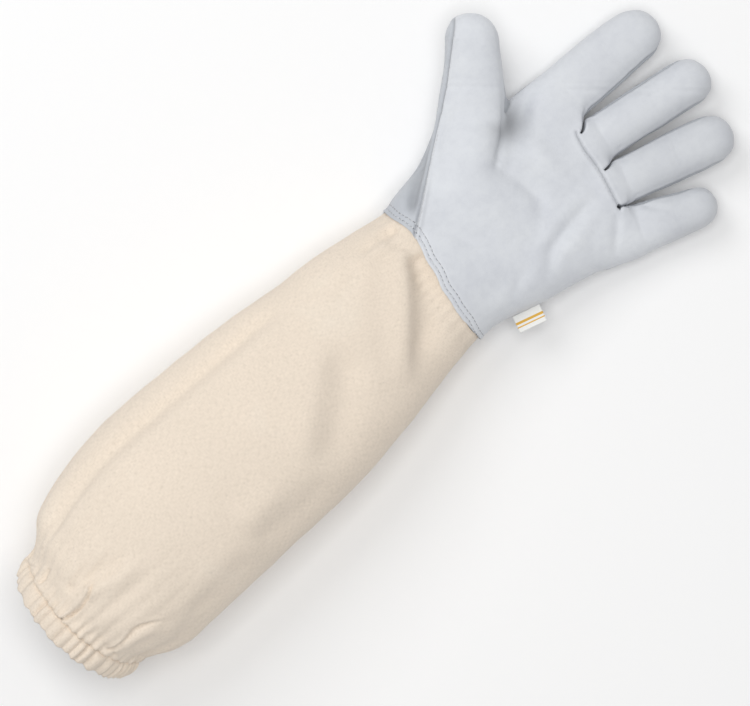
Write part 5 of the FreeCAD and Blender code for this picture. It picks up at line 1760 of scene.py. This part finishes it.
# seam allowance inside the gauntlet
NA = 60
ax = np.linspace(6.0, 246.0, NA)
j0 = int(round((SEAM_TH - ths[0]) / (2 * math.pi) * NT)) % NT
wj = max(2, int(round(5.0 / (2 * math.pi * 60 / NT))))
rowsA = []
for x in ax:
    i = int(np.argmin(np.abs(xs - x)))
    rowsA.append([pos[i, (j0 + k) % NT] - GN[i, (j0 + k) % NT] * 1.15 for k in range(-wj, wj + 1)])
A = np.array(rowsA)
nA = np.array([[GN[int(np.argmin(np.abs(xs - x))), (j0 + k) % NT] for k in range(-wj, wj + 1)] for x in ax])
A2 = A - nA * 0.9
na_, ma_ = A.shape[:2]
i, j = np.meshgrid(np.arange(na_ - 1), np.arange(ma_ - 1), indexing="ij")
q = np.stack([(i * ma_ + j).ravel(), (i * ma_ + j + 1).ravel(), ((i + 1) * ma_ + j + 1).ravel(), ((i + 1) * ma_ + j).ravel()], 1)
v = A.reshape(-1, 3)
fn = np.cross(v[q[:, 1]] - v[q[:, 0]], v[q[:, 2]] - v[q[:, 0]])
if (fn * nA.reshape(-1, 3)[q[:, 0]]).sum() < 0:
    q = q[:, ::-1]
nv = na_ * ma_
border = [(a, b) for f_ in q.tolist() for a, b in zip(f_, f_[1:] + f_[:1])]
seen = set(border)
rim = np.array([(b, a, a + nv, b + nv) for a, b in border if (b, a) not in seen])
faces = np.concatenate([q, q[:, ::-1] + nv, rim])
uvA = np.stack([np.broadcast_to(np.arange(ma_) * 0.0013, (na_, ma_)), np.broadcast_to((ax * 0.001)[:, None], (na_, ma_))], -1).reshape(-1, 2)
o = new_object("seam_allowance_canvas", np.concatenate([v, A2.reshape(-1, 3)]), faces, attrs={"seam": np.zeros(2 * nv)}, material=M_INSIDE, uv=np.concatenate([uvA, uvA]))
finish_piece(o, ["sleeve_seam_allowance"], body="sleeve")


# ------------------------------------------------------------------ tag
def tag_material():
    m, nt, b = material("woven_tag")
    uvn = node(nt, "ShaderNodeUVMap", uv_map="UVMap")
    sep = node(nt, "ShaderNodeSeparateXYZ")
    nt.links.new(uvn.outputs[0], sep.inputs[0])
    # two plain amber bars across a white woven ground
    bars = ramp(nt, sep.outputs[1], [(0.0, (0, 0, 0)), (0.40, (0, 0, 0)), (0.42, (1, 1, 1)), (0.54, (1, 1, 1)), (0.56, (0, 0, 0)), (0.66, (0, 0, 0)), (0.68, (1, 1, 1)), (0.73, (1, 1, 1)), (0.75, (0, 0, 0))])  # fmt: skip
    col = mix(nt, bars, lin(243, 243, 240), lin(226, 176, 62))
    nt.links.new(col, b.inputs["Base Color"])
    b.inputs["Roughness"].default_value = 0.6
    b.inputs["Sheen Weight"].default_value = 0.3
    k = 2 * math.pi
    sx = math_node(nt, "SINE", math_node(nt, "MULTIPLY", sep.outputs[0], k * 42))
    sy = math_node(nt, "SINE", math_node(nt, "MULTIPLY", sep.outputs[1], k * 26))
    bump = node(nt, "ShaderNodeBump")
    bump.inputs["Strength"].default_value = 0.4
    bump.inputs["Distance"].default_value = 0.0001
    nt.links.new(math_node(nt, "MULTIPLY", sx, sy), bump.inputs["Height"])
    nt.links.new(bump.outputs[0], b.inputs["Normal"])
    return m


tl, th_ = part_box("label_tag")
lab = [j for j in frame["joints"] if j["name"] == "label_flap"][0]
lp = np.array(lab["pos_m"]) * 1000 - SHIFT
ld = np.array(lab["axis"])
lo_ = np.array([ld[1], -ld[0], 0.0])
nu, nvv = 28, 16
U, W = np.meshgrid(np.linspace(0, 1, nu), np.linspace(0, 1, nvv), indexing="ij")
curl = 1.1 * W**2 + 0.5 * np.sin(U * 3.0) * W
tagp = lp + ld * (U * 18.0)[..., None] + lo_ * (W * 11.0 - 1.2)[..., None] + np.array([0, 0, 1.0]) * curl[..., None]
top = tagp + np.array([0, 0, 0.35])
bot = tagp - np.array([0, 0, 0.35])
i, j = np.meshgrid(np.arange(nu - 1), np.arange(nvv - 1), indexing="ij")
q = np.stack([(i * nvv + j).ravel(), (i * nvv + j + 1).ravel(), ((i + 1) * nvv + j + 1).ravel(), ((i + 1) * nvv + j).ravel()], 1)
v = top.reshape(-1, 3)
if np.cross(v[q[0, 1]] - v[q[0, 0]], v[q[0, 2]] - v[q[0, 0]])[2] < 0:
    q = q[:, ::-1]
nv = nu * nvv
border = [(a, b) for f_ in q.tolist() for a, b in zip(f_, f_[1:] + f_[:1])]
seen = set(border)
rim = np.array([(b, a, a + nv, b + nv) for a, b in border if (b, a) not in seen])
uvt = np.stack([U, W], -1).reshape(-1, 2)
o = new_object("tag_woven", np.concatenate([v, bot.reshape(-1, 3)]), np.concatenate([q, q[:, ::-1] + nv, rim]), material=tag_material(), uv=np.concatenate([uvt, uvt]))
finish_piece(o, ["label_tag"], body="label")

# ------------------------------------------------------------------ stage, light, camera
floor_mesh = bpy.data.meshes.new("floor")
s = 6.0
floor_mesh.from_pydata([(-s, -s, 0), (s, -s, 0), (s, s, 0), (-s, s, 0)], [], [(0, 1, 2, 3)])
floor = bpy.data.objects.new("floor", floor_mesh)
bpy.context.scene.collection.objects.link(floor)
fm, fnt, fb = material("floor_white")
fb.inputs["Base Color"].default_value = (0.97, 0.97, 0.97, 1)
fb.inputs["Roughness"].default_value = 0.9
floor_mesh.materials.append(fm)

aim = to_m([242.8, -9.1, 40.0])
turn = math.radians(-44.35)
cam_data = bpy.data.cameras.new("camera")
cam_data.lens, cam_data.sensor_width = 200.0, 36.0
cam = bpy.data.objects.new("camera", cam_data)
bpy.context.scene.collection.objects.link(cam)
dist = 0.450 / 2 / (36.0 / 2 / 200.0)
cam.location = (aim[0], aim[1], aim[2] + dist)
cam.rotation_euler = (0, 0, turn)
cam_data.clip_start, cam_data.clip_end = 0.05, 50.0
bpy.context.scene.camera = cam

world = bpy.data.worlds.new("studio")
world.use_nodes = True
world.node_tree.nodes["Background"].inputs[0].default_value = (1, 1, 1, 1)
world.node_tree.nodes["Background"].inputs[1].default_value = 0.38
bpy.context.scene.world = world


def area_light(name, loc, target, size, power):
    d = bpy.data.lights.new(name, "AREA")
    d.shape, d.size, d.energy = "SQUARE", size, power
    o = bpy.data.objects.new(name, d)
    bpy.context.scene.collection.objects.link(o)
    o.location = loc
    o.rotation_euler = (Vector(target) - Vector(loc)).to_track_quat("-Z", "Y").to_euler()
    return o


img_right = np.array([math.cos(turn), math.sin(turn), 0])
img_up = np.array([-math.sin(turn), math.cos(turn), 0])
c0 = np.array([0, 0, 0.04])
area_light("key", tuple(c0 + img_up * 1.0 - img_right * 0.9 + np.array([0, 0, 1.6])), (0, 0, 0), 1.1, 12)
area_light("top", tuple(c0 + np.array([0, 0, 2.9])), (0, 0, 0), 1.6, 38)

scene = bpy.context.scene
scene.view_settings.view_transform = "Standard"
scene.view_settings.look = "None"
scene.view_settings.exposure = 0.0

import json
